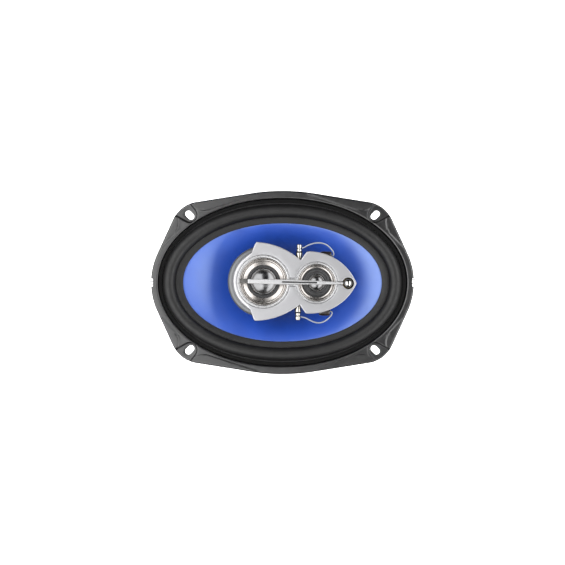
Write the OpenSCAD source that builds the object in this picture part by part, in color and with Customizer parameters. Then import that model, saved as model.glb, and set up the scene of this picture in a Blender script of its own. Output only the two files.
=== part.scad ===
// Coaxial car speaker of the 6 x 9 inch size. A pressed steel basket holds an oval cone on a
// rubber surround and a cloth spider, a ceramic magnet drives it, and a bridge on a post over the
// cone carries a midrange, a tweeter and a piezo super tweeter.
// The origin is the centre of the four mounting slots, on the plane that the flange is screwed
// against. +X runs along the long axis and +Z points to the listener.

/* [Flange] */
// Length of the flange along X
flange_l = 238; // [236:1:242]
// Width of the flange along Y
flange_w = 166; // [164:1:170]
// Height of the raised deck above the mounting plane
deck_h = 3; // [2.8:0.1:4]
// Thickness of the basket's steel sheet
sheet = 1.2; // [0.8:0.1:1.4]
// Distance between slot centres along X
slot_x = 168; // [166:1:169]
// Distance between slot centres along Y
slot_y = 122; // [120:1:123]
// End-to-end length of a slot
slot_l = 9.2; // [7:0.1:9.8]
// Width of a slot
slot_w = 5.9; // [4.5:0.1:6.2]

/* [Cone] */
// Length of the cone that shows inside the surround
cone_l = 180; // [174:1:182]
// Width of the cone that shows inside the surround
cone_w = 107; // [103:1:108]
// Depth from the cone's rim to its neck
cone_depth = 31; // [29:0.5:32]
// Height of the surround's roll above its feet
roll_h = 5.8; // [4.5:0.1:6.5]
// Inside diameter of the voice coil former
coil_d = 38; // [36:0.5:38.4]

/* [Magnet] */
// Diameter of the magnet ring
magnet_d = 90; // [86:1:90]
// Thickness of the magnet ring
magnet_t = 15; // [14:0.5:18]
// Thickness of each steel plate
plate_t = 6; // [5:0.5:7]

/* [Bridge] */
// Height of the cover's face above the mounting plane
bridge_h = 20; // [19.5:0.5:23]
// Turn of the bridge on its post, in degrees
bridge_turn = -1.2; // [-4:0.2:4]
// Offset of the bridge along Y
bridge_y = 0.5; // [-1:0.1:1]
// Diameter of the midrange dome
mid_dome_d = 21.6; // [20:0.2:21.6]
// Diameter of the tweeter dome
tweeter_dome_d = 13.2; // [12:0.2:13.2]
// Diameter of the ball over the super tweeter
ball_d = 8.4; // [7:0.2:8.8]

/* [Hidden] */

// Points round a moulded oval, and round a swept wire
columns = 96;
wire_sides = 8;
// Exponent of the ovals: 2 is an ellipse, and a little more fills the shoulders
fullness = 2.04;
// Gap left between glued faces that curve
glue = 0.05;
// Reach of cuts that are open at one end
clear = 60;

// Flange outline: an oval joined to four round ears
flange_a = flange_l / 2;
flange_b = flange_w / 2;
ear_r = 26.9;
ear_x = 74.5;
ear_y = 46.2;
pad_r = 6.8;
slot_angle = 45;
// Grille tongues at the two ends of the flange
tongue = 0.8;
notch_w = 7.3;
notch_depth = 1.8;
tongue_reach = 0.9;

// Step inside the deck, and the landing that the surround is glued to
step_a = 112.6;
step_b = 75.9;
landing_z = -0.4;
landing_a = 105.6;
landing_b = 68.4;

// Surround: feet of the roll and edges of the two lips
lip_t = 0.8;
outer_foot = [108.3, 70.9];
inner_foot = [96.7, 59.3];
lip_out = [112, 75.3];
gasket_in = [108.9, 72.4];
gasket_out = [111.6, 74.9];
gasket_t = 1.8;

// Cone
cone_a = cone_l / 2;
cone_b = cone_w / 2;
cone_t = 1;
// Outer edge of the cone, glued under the roll's inner lip
cone_edge = [inner_foot[0] - 0.4, inner_foot[1] - 0.4];
neck_r = coil_d / 2 + 0.35;
rim_z = landing_z - glue;
neck_z = rim_z - cone_depth;
neck_end = neck_z - 5;
// Share of the cone's fall that is straight; the rest is curved and steepens to the neck
straight = 0.6;

// Levels of the magnet system
plate_top = -52;
plate_bottom = plate_top - plate_t;
magnet_bottom = plate_bottom - magnet_t;
yoke_bottom = magnet_bottom - plate_t;
boot_t = 1.6;
boot_play = 0.4;
boot_bottom = yoke_bottom - boot_t - boot_play;
boot_top = plate_bottom + 2;
boot_r = magnet_d / 2 + boot_play + boot_t;
boot_hole_r = 14;
plate_r = 42;
pole_r = coil_d / 2 - 0.6;
gap_r = coil_d / 2 + 1.8;
rivet_circle = 33;
rivet_r = 2;

// Voice coil
former_t = 0.3;
winding_t = 0.8;
winding_h = 12;
winding_mid = plate_top - plate_t / 2;
former_bottom = winding_mid - winding_h / 2 - 0.5;

// Spider and its shelf in the basket
shelf_z = -38;
shelf_in = 45.5;
shelf_out = 57.2;
spider_r = 55;
spider_t = 0.6;
waves = 6;
wave_h = 1.4;

// Basket bowl, one row per ring from the landing to the bottom:
// semi-axis along X, semi-axis along Y, height, and how many sheets the inner face is moved
// inward and upward; the last value is the exponent of the oval
wall_b = [66.4, 58.9];
wall_z = [-9.5, -37];
wall_lean = atan((wall_b[0] - wall_b[1]) / (wall_z[0] - wall_z[1]));
function wall_y(z) = wall_b[1] + (z - wall_z[1]) * tan(wall_lean);
bowl = [
    [107.4, 70.2, -1, 1, 0, fullness],
    [106.4, 69, -5.5, 1, 0.4, fullness],
    [103.5, wall_y(-9.5), -9.5, 0.7, 0.7, fullness],
    [93, wall_y(-16), -16, 0.6, 0.8, fullness],
    [80, wall_y(-24), -24, 0.6, 0.8, fullness],
    [68, wall_y(-32), -32, 0.6, 0.8, 2],
    [60.5, wall_y(-37), -37, 0.7, 0.7, 2],
    [shelf_out + 0.6, shelf_out + 0.6, shelf_z - sheet, 0.5, 1, 2],
    [shelf_in + sheet, shelf_in + sheet, shelf_z - sheet, 1, 1, 2],
    [shelf_in + sheet, shelf_in + sheet, plate_top, 1, 1, 2],
    [24, 24, plate_top, 0, 1, 2]
];
// The windows lie between these two rows, and each spoke is this many columns wide
window_rows = [2, 6];
spokes = 8;
spoke_columns = 4;

// Terminal board, on the spoke that points along -Y
board_z = -24;
board_w = 30;
board_h = 22;
board_t = 1.6;
board_rivet = [3.8, 5];
board_rivet_r = 1.5;
board_rivet_head = 0.8;
tab_x = 11.4;
tab_t = 0.8;
tab_drop = 20;
tab_root = [3.4, 3.4];
tab_rivet_z = -4;
tab_rivet_r = 1.2;
tab_tail = 1;
positive_w = 4.75;
negative_w = 2.8;

// Bridge: the drivers' centres along its own X axis
mid_x = -17;
tweeter_x = 30.5;
super_x = 58.5;
cover_t = 2.5;
cover_bottom = bridge_h - cover_t;
body_bottom = -0.5;
drum_r = 32;
pocket_mid_r = 21.6;
pocket_tweeter_r = 16.9;
can_r = pocket_tweeter_r + 4;
nose_r = 6.7;
block_w = 8;
web_half = 9;
post_r = 8;
post_top = 2;
post_stud_r = 5;
nut_r = 9.2;
nut_t = 3.6;
nut_recess = [11, 4];
boss_bottom = -10;
boss_r = [11, 15];
ledge_z = cover_bottom - 1.3;
// The opening of the cover, which the bezel fills
open_mid_r = 23.8;
open_tweeter_r = 18.65;
open_super_r = 5.15;
strip_half = 3.85;
nose_strip_half = 1.55;
bezel_gap = 0.2;
ring_mid_r = 21.3;
ring_tweeter_r = 16.6;
bezel_top = bridge_h - 0.4;
// Bar across the two drivers: [x, width] from its left end to its tip
bar = [[-31, 3.9], [-2.4, 4.5], [37.6, 3], [51, 2.1], [54, 2]];
bar_bottom = bezel_top - 0.3;
bar_top = bridge_h + 1.5;
slit = [-0.6, 31, 1.4];
// Foot that carries the bar's left end, let into the rim of the midrange's bowl
foot_w = 3.8;
foot_inside = 4;
foot_z = [ledge_z + 0.4, ledge_z + 1.6];
screw_places = [[-40.6, 10.2], [-40.6, -10.2], [9.6, 10], [9.6, -10]];
screw_r = 1.25;
screw_bite = 1.5;
screw_head_t = 2;
screw_seat = body_bottom + 2.5;

// Lead posts in the two waists of the cover
lead_x = 14.4;
lead_z = cover_bottom - 4;
lead_face = 16;
collar_r = 3.1;
collar_end = 26.6;
barrel_r = 2.45;
barrel_end = 33.8;
bush_w = 0.8;
bush_r = 2.9;
neck_pin_r = 1.6;

// Two small capacitors under the edge of the cover: [x, y] of each centre
capacitors = [[38.5, 24.9], [38.1, -26.2]];
capacitor_r = 3.3;
capacitor_l = 10;

// Midrange and tweeter. Heights count from the floor of each pocket. A yoke is a cup with a
// radius, wall, height and floor; its magnet and pole lie in it one on the other.
mid_floor = 5;
mid_cup = [15.2, 2, 6.8, 1.6];
mid_magnet_r = 9.6;
mid_magnet_t = 2.8;
mid_pole_t = 2;
mid_coil_z = 3.4;
mid_dome_z = 7.7;
mid_dome_rise = 3.6;
mid_ring_r = 15.6;
mid_ring_t = 1.2;
mid_ring_line = 13.4;
mid_bowl_r = 15;
tweeter_floor = 6;
tweeter_cup = [12.4, 1.8, 6.3, 1.4];
tweeter_magnet_r = 5.6;
tweeter_magnet_t = 2.6;
tweeter_pole_t = 1.8;
tweeter_coil_z = 3.2;
tweeter_dome_z = 7;
tweeter_dome_rise = 2.6;
tweeter_ring_r = 12.9;
tweeter_ring_t = 1;
tweeter_ring_line = 9.8;
tweeter_bowl_r = 12.3;
dome_t = 0.4;
dome_edge = 0.7;
bowl_t = 0.8;
// The top of a bowl lies this far under the bezel, and inside the bezel's ring
bowl_inset = 0.4;
bowl_lip = 1;

// Super tweeter: a well under the ball, with a piezo disc on its floor
well_r = nose_r - 0.9;
well_wall = 0.7;
well_floor = 0.8;
well_bottom = ledge_z - 6.4;
piezo_r = 4.6;
piezo_t = 0.5;
ball_drop = 2;
ball_stem_r = 1;

// Eyelets through the cone: how far out on its wall, from neck to rim, and the angle round it
eyelets = [[0.148, -82.4], [0.205, -114.5]];
eyelet_r = 1.5;
eyelet_head_r = 2.3;
eyelet_head_t = 0.8;
eyelet_grip = 2.2;

// Wires, each as points chosen by hand along its route
wire_d = 1.2;
tinsel_d = 1.5;
upper_route = [
    [16.9, 30.6, 13.5], [19, 31.4, 13.7], [22.5, 33.4, 14], [26.3, 34.8, 14.3],
    [30.6, 35.6, 14.5], [35.2, 35.3, 14.5], [39.4, 33.6, 14.3], [42.4, 31, 14],
    [44.6, 28.3, 13.9], [45.3, 26, 13.9], [44.9, 24.6, 13.9], [44.2, 24.2, 13.9],
    [43.6, 24.2, 13.9]
];
lower_route = [
    [16.9, -30.6, 13.5], [19, -31.2, 13.7], [22, -32, 14], [26.3, -34.2, 14.3],
    [31, -35.7, 14.5], [35.2, -35.6, 14.5], [39.2, -33.8, 14.3], [42.3, -31.2, 14],
    [44.2, -28.9, 13.9], [44.9, -27.1, 13.9], [44.5, -25.8, 13.9], [43.8, -25.4, 13.9],
    [43.2, -25.4, 13.9]
];
positive_route = [
    [11.4, -60.4, -27.6], [11.4, -58, -27], [11.2, -54, -28.6], [10.5, -48, -31],
    [9, -41, -31.8], [7, -34, -31.2], [5.2, -29, -29.6], [4.2, -26.4, -27.9]
];
negative_route = [
    [-11.4, -60.4, -27.6], [-11.5, -58, -27], [-12, -54, -28.6], [-13, -48, -31],
    [-13.8, -41, -31.4], [-14.2, -34, -30.2], [-14.4, -29, -27.6], [-14.5, -26.4, -25.6]
];
flex_top = [[4, -20, body_bottom - 0.3], [-14, -20, body_bottom - 0.3]];

// ---- Shared shapes ----

function signed_pow(v, p) = sign(v) * pow(abs(v), p);
function oval(a, b, n = fullness) = [
    for (i = [0 : columns - 1])
        let (t = 360 * i / columns)
            [a * signed_pow(cos(t), 2 / n), b * signed_pow(sin(t), 2 / n)]
];
function ring(a, b, z, n = fullness) = [for (p = oval(a, b, n)) [p[0], p[1], z]];
function arc(centre, r, from, to, steps) = [
    for (i = [0 : steps])
        let (t = from + (to - from) * i / steps)
            [centre[0] + r * cos(t), centre[1] + r * sin(t)]
];

// A closed band: the rings go once round its section
module band(rings) {
    m = len(rings);
    n = len(rings[0]);
    polyhedron(
        points = [for (r = rings) each r],
        faces = [
            for (i = [0 : m - 1], j = [0 : n - 1])
                let (
                    k = (i + 1) % m,
                    l = (j + 1) % n
                )
                    each [[i * n + j, i * n + l, k * n + l], [i * n + j, k * n + l, k * n + j]]
        ]
    );
}

// A flat ring between two ovals
module oval_ring(outer, inner, z, h) {
    translate([0, 0, z])
        linear_extrude(h)
            difference() {
                polygon(oval(outer[0], outer[1]));
                polygon(oval(inner[0], inner[1]));
            }
}

// A ring of rectangular section
module washer(outer_r, inner_r, z, h) {
    translate([0, 0, z])
        difference() {
            cylinder(r = outer_r, h = h, $fn = 96);
            translate([0, 0, -1])
                cylinder(r = inner_r, h = h + 2, $fn = 96);
        }
}

module disc(r, z, h) {
    translate([0, 0, z])
        cylinder(r = r, h = h, $fn = 96);
}

module at_slots() {
    for (sx = [-1, 1], sy = [-1, 1])
        translate([sx * slot_x / 2, sy * slot_y / 2, 0])
            rotate(sx * sy * slot_angle)
                children();
}

module on_bridge() {
    translate([0, bridge_y, 0])
        rotate(bridge_turn)
            children();
}

module at_mid() {
    on_bridge()
        translate([mid_x, 0, 0])
            children();
}

module at_tweeter() {
    on_bridge()
        translate([tweeter_x, 0, 0])
            children();
}

module at_super() {
    on_bridge()
        translate([super_x, 0, 0])
            children();
}

// The outer face of the -Y spoke, with its own Z axis along the face
module on_board() {
    translate([0, -wall_y(board_z) - 2 * glue, board_z])
        rotate([wall_lean, 0, 0])
            children();
}

// A smooth curve through points, with the given number of steps between each two
function smooth(p, steps) = [
    for (i = [0 : len(p) - 2], s = [0 : steps - 1])
        let (
            t = s / steps,
            a = p[max(i - 1, 0)],
            b = p[i],
            c = p[i + 1],
            d = p[min(i + 2, len(p) - 1)]
        )
            0.5 * (2 * b + (c - a) * t + (2 * a - 5 * b + 4 * c - d) * t * t
                + (3 * b - a - 3 * c + d) * t * t * t),
    p[len(p) - 1]
];
function unit(v) = v / norm(v);

// A round wire along a route; side is any direction that the route never runs along
module wire(route, d, side) {
    p = smooth(route, 2);
    m = len(p);
    n = wire_sides;
    points = [
        for (i = [0 : m - 1])
            let (
                along = unit(p[min(i + 1, m - 1)] - p[max(i - 1, 0)]),
                u = unit(cross(along, side)),
                v = cross(along, u)
            )
                for (j = [0 : n - 1])
                    p[i] + d / 2 * (u * cos(360 * j / n) + v * sin(360 * j / n))
    ];
    polyhedron(
        points = points,
        faces = [
            [for (j = [0 : n - 1]) n - 1 - j],
            [for (j = [0 : n - 1]) (m - 1) * n + j],
            for (i = [0 : m - 2], j = [0 : n - 1])
                let (l = (j + 1) % n)
                    each [
                        [i * n + j, i * n + l, (i + 1) * n + l],
                        [i * n + j, (i + 1) * n + l, (i + 1) * n + j]
                    ]
        ]
    );
}

// ---- Basket ----

module flange_outline(inset) {
    hull() {
        polygon(oval(flange_a - inset, flange_b - inset));
        for (sx = [-1, 1], sy = [-1, 1])
            translate([sx * ear_x, sy * ear_y])
                circle(r = ear_r - inset, $fn = 128);
    }
}

// The flange seen from the front, with a notch in the middle of each end. A larger inset moves
// its whole edge inward, so the notches grow as the rest shrinks.
module flange_plan(inset) {
    difference() {
        flange_outline(inset);
        for (s = [-1, 1])
            translate([s * flange_a, 0])
                square([2 * (notch_depth + inset), notch_w + 2 * inset], center = true);
    }
}

module flange() {
    difference() {
        linear_extrude(deck_h)
            flange_plan(0);
        translate([0, 0, -1])
            linear_extrude(1 + deck_h - sheet)
                flange_plan(sheet);
        translate([0, 0, deck_h - sheet - 1])
            linear_extrude(sheet + 2)
                polygon(oval(step_a, step_b));
    }
    oval_ring([step_a + sheet, step_b + sheet], [step_a, step_b], landing_z - sheet,
        deck_h - landing_z);
    oval_ring([step_a + sheet, step_b + sheet], [landing_a, landing_b], landing_z - sheet, sheet);
}

// A pad pressed down to the mounting plane round each slot
module pads() {
    at_slots()
        disc(pad_r + sheet, 0, deck_h - 0.1);
}

module pad_recesses() {
    at_slots() {
        disc(pad_r, sheet, deck_h);
        hull()
            for (s = [-1, 1])
                translate([s * (slot_l - slot_w) / 2, 0, -1])
                    cylinder(d = slot_w, h = deck_h + 2, $fn = 32);
    }
}

// The bowl's windows are cells of its grid that are left out
function is_open(i, j) =
    let (
        pitch = columns / spokes,
        k = (j + columns + spoke_columns / 2) % pitch
    )
        i >= window_rows[0] && i < window_rows[1] && k >= spoke_columns;

module bowl_shell() {
    m = len(bowl);
    n = columns;
    outer = [for (r = bowl) each ring(r[0], r[1], r[2], r[5])];
    inner = [
        for (r = bowl)
            each ring(r[0] - r[3] * sheet, r[1] - r[3] * sheet, r[2] + r[4] * sheet, r[5])
    ];
    function quad(a, b, c, d) = [[a, b, c], [a, c, d]];
    polyhedron(
        points = concat(outer, inner),
        faces = [
            for (i = [0 : m - 2], j = [0 : n - 1])
                let (
                    l = (j + 1) % n,
                    a = i * n + j,
                    b = i * n + l,
                    c = (i + 1) * n + l,
                    d = (i + 1) * n + j,
                    f = m * n
                )
                    each is_open(i, j)
                        ? concat(
                            is_open(i, j - 1) ? [] : quad(a, d, f + d, f + a),
                            is_open(i, j + 1) ? [] : quad(c, b, f + b, f + c),
                            is_open(i - 1, j) ? [] : quad(b, a, f + a, f + b),
                            is_open(i + 1, j) ? [] : quad(d, c, f + c, f + d))
                        : concat(quad(a, b, c, d), quad(f + d, f + c, f + b, f + a)),
            for (j = [0 : n - 1])
                let (
                    l = (j + 1) % n,
                    e = (m - 1) * n,
                    f = m * n
                )
                    each concat(quad(l, j, f + j, f + l), quad(e + j, e + l, f + e + l, f + e + j))
        ]
    );
}

module tongues() {
    for (t = [[1, 2.4], [1, -1.2], [-1, 0.8], [-1, -2.1]])
        translate([
            t[0] * (flange_a - notch_depth / 2 + tongue_reach / 2 - 0.2) - notch_depth,
            t[1] - tongue / 2, sheet / 2
        ])
            cube([2 * notch_depth, tongue, deck_h - 1.5 * sheet]);
}

module basket() {
    color([0.16, 0.16, 0.17])
        difference() {
            union() {
                difference() {
                    union() {
                        flange();
                        pads();
                    }
                    pad_recesses();
                }
                tongues();
                bowl_shell();
            }
            for (a = [45 : 90 : 315])
                rotate(a)
                    translate([rivet_circle, 0, plate_top - 1])
                        cylinder(r = rivet_r, h = sheet + 2, $fn = 32);
            on_board()
                board_holes();
        }
}

// ---- Soft parts round the cone ----

module front_gasket() {
    color([0.2, 0.2, 0.21])
        oval_ring(gasket_out, gasket_in, landing_z + lip_t, gasket_t);
}

function roll_ring(angle, out) =
    let (
        mid = (outer_foot + inner_foot) / 2,
        half = (outer_foot - inner_foot) / 2,
        k = out ? 1 : 1 - lip_t / half[0],
        base = landing_z + (out ? lip_t : 0)
    )
        ring(mid[0] + half[0] * k * cos(angle), mid[1] + half[1] * k * cos(angle),
            base + (roll_h - (out ? 0 : 0.1)) * k * sin(angle));

module surround() {
    top = landing_z + lip_t;
    color([0.17, 0.17, 0.18])
        band([
            ring(lip_out[0], lip_out[1], landing_z),
            ring(lip_out[0], lip_out[1], top),
            for (angle = [0 : 22.5 : 180])
                roll_ring(angle, true),
            ring(cone_a, cone_b, top),
            ring(cone_a, cone_b, landing_z),
            for (angle = [180 : -30 : 0])
                roll_ring(angle, false)
        ]);
}

// The cone's face: t runs from 0 at the neck to 1 at the rim
function cone_axes(t) = [neck_r + (cone_a - neck_r) * t, neck_r + (cone_b - neck_r) * t];
function cone_z(t) = rim_z - cone_depth * (straight * (1 - t) + (1 - straight) * (1 - t) * (1 - t));
function cone_ring(t, down) =
    ring(cone_axes(t)[0], cone_axes(t)[1], cone_z(t) - down, 2 + (fullness - 2) * t);
function cone_point(t, angle) =
    let (axes = cone_axes(t))
        [axes[0] * cos(angle), axes[1] * sin(angle), cone_z(t)];
function cone_normal(t, angle) =
    unit(cross(cone_point(t + 0.01, angle) - cone_point(t - 0.01, angle),
        cone_point(t, angle + 1) - cone_point(t, angle - 1)));

// An eyelet's place, with its own Z axis square to the cone's face
module at_eyelets() {
    for (e = eyelets) {
        n = cone_normal(e[0], e[1]);
        translate(cone_point(e[0], e[1]) - [0, 0, cone_t / 2])
            rotate([0, acos(n[2]), atan2(n[1], n[0])])
                children();
    }
}

module cone() {
    steps = [1, 0.9, 0.78, 0.65, 0.5, 0.36, 0.23, 0.11, 0];
    color([0.2, 0.38, 0.85])
        difference() {
            band([
                ring(cone_edge[0], cone_edge[1], rim_z),
                for (t = steps)
                    cone_ring(t, 0),
                ring(neck_r, neck_r, neck_end, 2),
                ring(neck_r + cone_t, neck_r + cone_t, neck_end, 2),
                ring(neck_r + cone_t, neck_r + cone_t, neck_z - cone_t, 2),
                for (i = [len(steps) - 2 : -1 : 0])
                    cone_ring(steps[i], cone_t),
                ring(cone_edge[0], cone_edge[1], rim_z - cone_t)
            ]);
            at_eyelets()
                cylinder(r = eyelet_r, h = 8, center = true, $fn = 32);
        }
}

// ---- Voice coil and suspension ----

module voice_coil_former() {
    color([0.75, 0.76, 0.78])
        washer(coil_d / 2 + former_t, coil_d / 2, former_bottom, neck_z - former_bottom);
}

module voice_coil() {
    color([0.72, 0.38, 0.16])
        washer(coil_d / 2 + former_t + winding_t, coil_d / 2 + former_t,
            winding_mid - winding_h / 2, winding_h);
}

// Felt that keeps grit out of the gap round the post
module dust_ring() {
    color([0.1, 0.1, 0.1])
        washer(coil_d / 2 - glue, post_r + 1.2, neck_z - 4, 2);
}

module cone_eyelets() {
    color([0.8, 0.66, 0.32])
        at_eyelets() {
            cylinder(r = eyelet_r, h = eyelet_grip + 2 * eyelet_head_t, center = true, $fn = 32);
            for (z = [eyelet_grip / 2, -eyelet_grip / 2 - eyelet_head_t])
                translate([0, 0, z])
                    cylinder(r = eyelet_head_r, h = eyelet_head_t, $fn = 32);
        }
}

module spider() {
    from = neck_r + glue;
    in = from + 3;
    out = shelf_in - 0.5;
    function wave(r, lift) = [
        r,
        shelf_z + lift + wave_h * sin(360 * waves * (r - in) / (out - in))
    ];
    steps = waves * 8;
    color([0.82, 0.68, 0.35])
        rotate_extrude($fn = 96)
            polygon(concat(
                [[spider_r, shelf_z], [spider_r, shelf_z + spider_t]],
                [for (i = [0 : steps]) wave(out - (out - in) * i / steps, spider_t)],
                [[from, shelf_z + spider_t], [from, shelf_z]],
                [for (i = [0 : steps]) wave(in + (out - in) * i / steps, 0)]));
}

// ---- Magnet system ----

module top_plate() {
    color([0.78, 0.75, 0.62])
        difference() {
            washer(plate_r, gap_r, plate_bottom, plate_t);
            for (a = [45 : 90 : 315])
                rotate(a)
                    translate([rivet_circle, 0, plate_bottom - 1])
                        cylinder(r = rivet_r, h = plate_t + 2, $fn = 32);
        }
}

module plate_rivets() {
    color([0.7, 0.7, 0.7])
        for (a = [45 : 90 : 315])
            rotate(a)
                translate([rivet_circle, 0, 0]) {
                    translate([0, 0, plate_bottom])
                        cylinder(r = rivet_r, h = plate_t + sheet + 0.5, $fn = 32);
                    translate([0, 0, plate_top + sheet])
                        cylinder(r1 = 2 * rivet_r, r2 = 1.5 * rivet_r, h = 1.2, $fn = 32);
                }
}

module magnet() {
    color([0.22, 0.22, 0.23])
        washer(magnet_d / 2, gap_r + 2.5, magnet_bottom, magnet_t);
}

module yoke() {
    color([0.78, 0.75, 0.62])
        difference() {
            union() {
                disc(plate_r, yoke_bottom, plate_t);
                disc(pole_r, yoke_bottom + 1, plate_top - yoke_bottom - 1);
            }
            disc(post_stud_r + glue, yoke_bottom - 1, clear);
            disc(nut_recess[0], yoke_bottom - 1, 1 + nut_recess[1]);
        }
}

module magnet_boot() {
    color([0.1, 0.1, 0.11])
        difference() {
            disc(boot_r, boot_bottom, boot_top - boot_bottom);
            disc(boot_r - boot_t, boot_bottom + boot_t, clear);
            disc(boot_hole_r, boot_bottom - 1, boot_t + 2);
        }
}

// ---- Terminals ----

module board_holes() {
    for (s = [-1, 1])
        translate([s * board_rivet[0], 4, board_rivet[1]])
            rotate([90, 0, 0])
                cylinder(r = board_rivet_r, h = 8, $fn = 32);
}

module terminal_board() {
    color([0.35, 0.2, 0.1])
        on_board()
            difference() {
                translate([-board_w / 2, -board_t, -board_h / 2])
                    cube([board_w, board_t, board_h]);
                board_holes();
                for (s = [-1, 1])
                    translate([s * tab_x, 1, tab_rivet_z])
                        rotate([90, 0, 0])
                            cylinder(r = tab_rivet_r, h = board_t + 2, $fn = 32);
            }
}

module board_rivets() {
    inside = sheet / cos(wall_lean) + 0.5;
    color([0.75, 0.75, 0.76])
        on_board()
            for (s = [-1, 1])
                translate([s * board_rivet[0], 0, board_rivet[1]])
                    rotate([90, 0, 0]) {
                        translate([0, 0, -inside - board_rivet_head / 2])
                            cylinder(r = board_rivet_r, h = inside + board_t + board_rivet_head,
                                $fn = 32);
                        translate([0, 0, board_t])
                            cylinder(r1 = 2 * board_rivet_r - 0.2, r2 = 1.5 * board_rivet_r,
                                h = board_rivet_head, $fn = 32);
                        translate([0, 0, -inside - board_rivet_head])
                            cylinder(r = 2 * board_rivet_r - 0.4, h = board_rivet_head, $fn = 32);
                    }
}

// A blade with its root riveted to the board; it drops below the board's lower edge
module tab(x, w) {
    on_board()
        difference() {
            union() {
                translate([x - w / 2, -board_t - tab_t, -tab_drop])
                    cube([w, tab_t, tab_drop + tab_rivet_z]);
                translate([x - tab_root[0], -board_t - tab_t, tab_rivet_z - tab_root[1]])
                    cube([2 * tab_root[0], tab_t, 2 * tab_root[1]]);
            }
            translate([x, 1, tab_rivet_z])
                rotate([90, 0, 0])
                    cylinder(r = tab_rivet_r, h = board_t + 3, $fn = 32);
        }
}

module positive_tab() {
    color([0.85, 0.7, 0.35])
        tab(tab_x, positive_w);
}

module negative_tab() {
    color([0.8, 0.8, 0.82])
        tab(-tab_x, negative_w);
}

module tab_rivets() {
    color([0.8, 0.8, 0.8])
        on_board()
            for (s = [-1, 1])
                translate([s * tab_x, -board_t - tab_t, tab_rivet_z])
                    rotate([90, 0, 0]) {
                        translate([0, 0, -board_t - tab_t - tab_tail])
                            cylinder(r = tab_rivet_r, h = board_t + tab_t + tab_tail + 0.3,
                                $fn = 32);
                        cylinder(r1 = 1.75 * tab_rivet_r, r2 = 1.3 * tab_rivet_r, h = 0.7,
                            $fn = 32);
                    }
}

module tinsel_lead_positive() {
    color([0.75, 0.5, 0.3])
        wire(positive_route, tinsel_d, [1, 0, 0]);
}

module tinsel_lead_negative() {
    color([0.75, 0.5, 0.3])
        wire(negative_route, tinsel_d, [1, 0, 0]);
}

// A lead that bows from a cone eyelet up to the underside of the bridge
module flex_lead(eyelet, to) {
    n = cone_normal(eyelet[0], eyelet[1]);
    start = cone_point(eyelet[0], eyelet[1]) + (eyelet_grip / 2 + eyelet_head_t) * n
        - [0, 0, cone_t / 2 - glue];
    color([0.1, 0.1, 0.1])
        wire([
            start,
            start + 3 * n,
            start + [0, 4.5, 6.5],
            start + [0, 5, 12],
            to + [0, 0.5, -6],
            to
        ], wire_d, [1, 0, 0]);
}

module flex_lead_positive() {
    flex_lead(eyelets[0], flex_top[0]);
}

module flex_lead_negative() {
    flex_lead(eyelets[1], flex_top[1]);
}

// ---- Bridge ----

module bridge_post() {
    color([0.7, 0.71, 0.73]) {
        disc(post_r, plate_top, post_top - plate_top);
        disc(post_stud_r, yoke_bottom + 0.5, plate_top - yoke_bottom);
    }
}

module post_nut() {
    color([0.8, 0.8, 0.8])
        translate([0, 0, yoke_bottom + nut_recess[1] - nut_t])
            difference() {
                cylinder(r = nut_r, h = nut_t, $fn = 6);
                translate([0, 0, -1])
                    cylinder(r = post_stud_r + glue, h = nut_t + 2, $fn = 48);
            }
}

// Plan of the housing under the cover
module body_plan() {
    translate([mid_x, 0])
        circle(r = drum_r, $fn = 96);
    translate([tweeter_x, 0])
        circle(r = can_r, $fn = 96);
    translate([super_x, 0])
        circle(r = nose_r, $fn = 48);
    translate([mid_x, -web_half])
        square([tweeter_x - mid_x, 2 * web_half]);
    translate([tweeter_x, -nose_r + 1])
        square([super_x - tweeter_x, 2 * nose_r - 2]);
    translate([lead_x - block_w / 2, -lead_face])
        square([block_w, 2 * lead_face]);
}

module bridge_body() {
    color([0.55, 0.56, 0.58])
        difference() {
            union() {
                on_bridge()
                    translate([0, 0, body_bottom])
                        linear_extrude(cover_bottom - body_bottom)
                            body_plan();
                translate([0, 0, boss_bottom])
                    cylinder(r1 = boss_r[0], r2 = boss_r[1], h = body_bottom - boss_bottom + 1,
                        $fn = 96);
            }
            disc(post_r + glue, boss_bottom - 1, post_top - boss_bottom + 1);
            at_mid() {
                disc(pocket_mid_r, mid_floor, clear);
                disc(open_mid_r + 0.1, ledge_z, clear);
            }
            at_tweeter() {
                disc(pocket_tweeter_r, tweeter_floor, clear);
                disc(open_tweeter_r + 0.1, ledge_z, clear);
            }
            at_super()
                disc(well_r, well_bottom, clear);
            on_bridge()
                for (p = screw_places)
                    translate([p[0], p[1], 0]) {
                        disc(screw_r, boss_bottom, clear);
                        disc(2 * screw_r, boss_bottom, screw_seat - boss_bottom);
                    }
        }
}

// Half of the cover's outline, from the back of the round end to the point of the nose
function cover_half() = concat(
    arc([mid_x, 0], 27.6, 180, 114, 12),
    [[-25.2, 33.4], [-24.3, 34.6]],
    arc([-25.8, -28.3], 63.5, 88.5, 50.6, 10),
    [[15.1, 20], [15.9, 20.1], [20.8, 27.1], [21.7, 27.7]],
    arc([24, -18], 45.8, 91.5, 24.5, 14),
    [[66, 0]]
);
function mirrored(half) = [
    for (i = [len(half) - 2 : -1 : 1])
        [half[i][0], -half[i][1]]
];

// The opening in the cover: two rings and the ball's hole, joined by narrow strips
module opening_plan(shrink) {
    translate([mid_x, 0])
        circle(r = open_mid_r - shrink, $fn = 96);
    translate([tweeter_x, 0])
        circle(r = open_tweeter_r - shrink, $fn = 96);
    translate([super_x, 0])
        circle(r = open_super_r, $fn = 48);
    translate([mid_x, -strip_half + shrink])
        square([tweeter_x - mid_x, 2 * (strip_half - shrink)]);
    translate([tweeter_x, -nose_strip_half + shrink])
        square([super_x - tweeter_x, 2 * (nose_strip_half - shrink)]);
}

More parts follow.
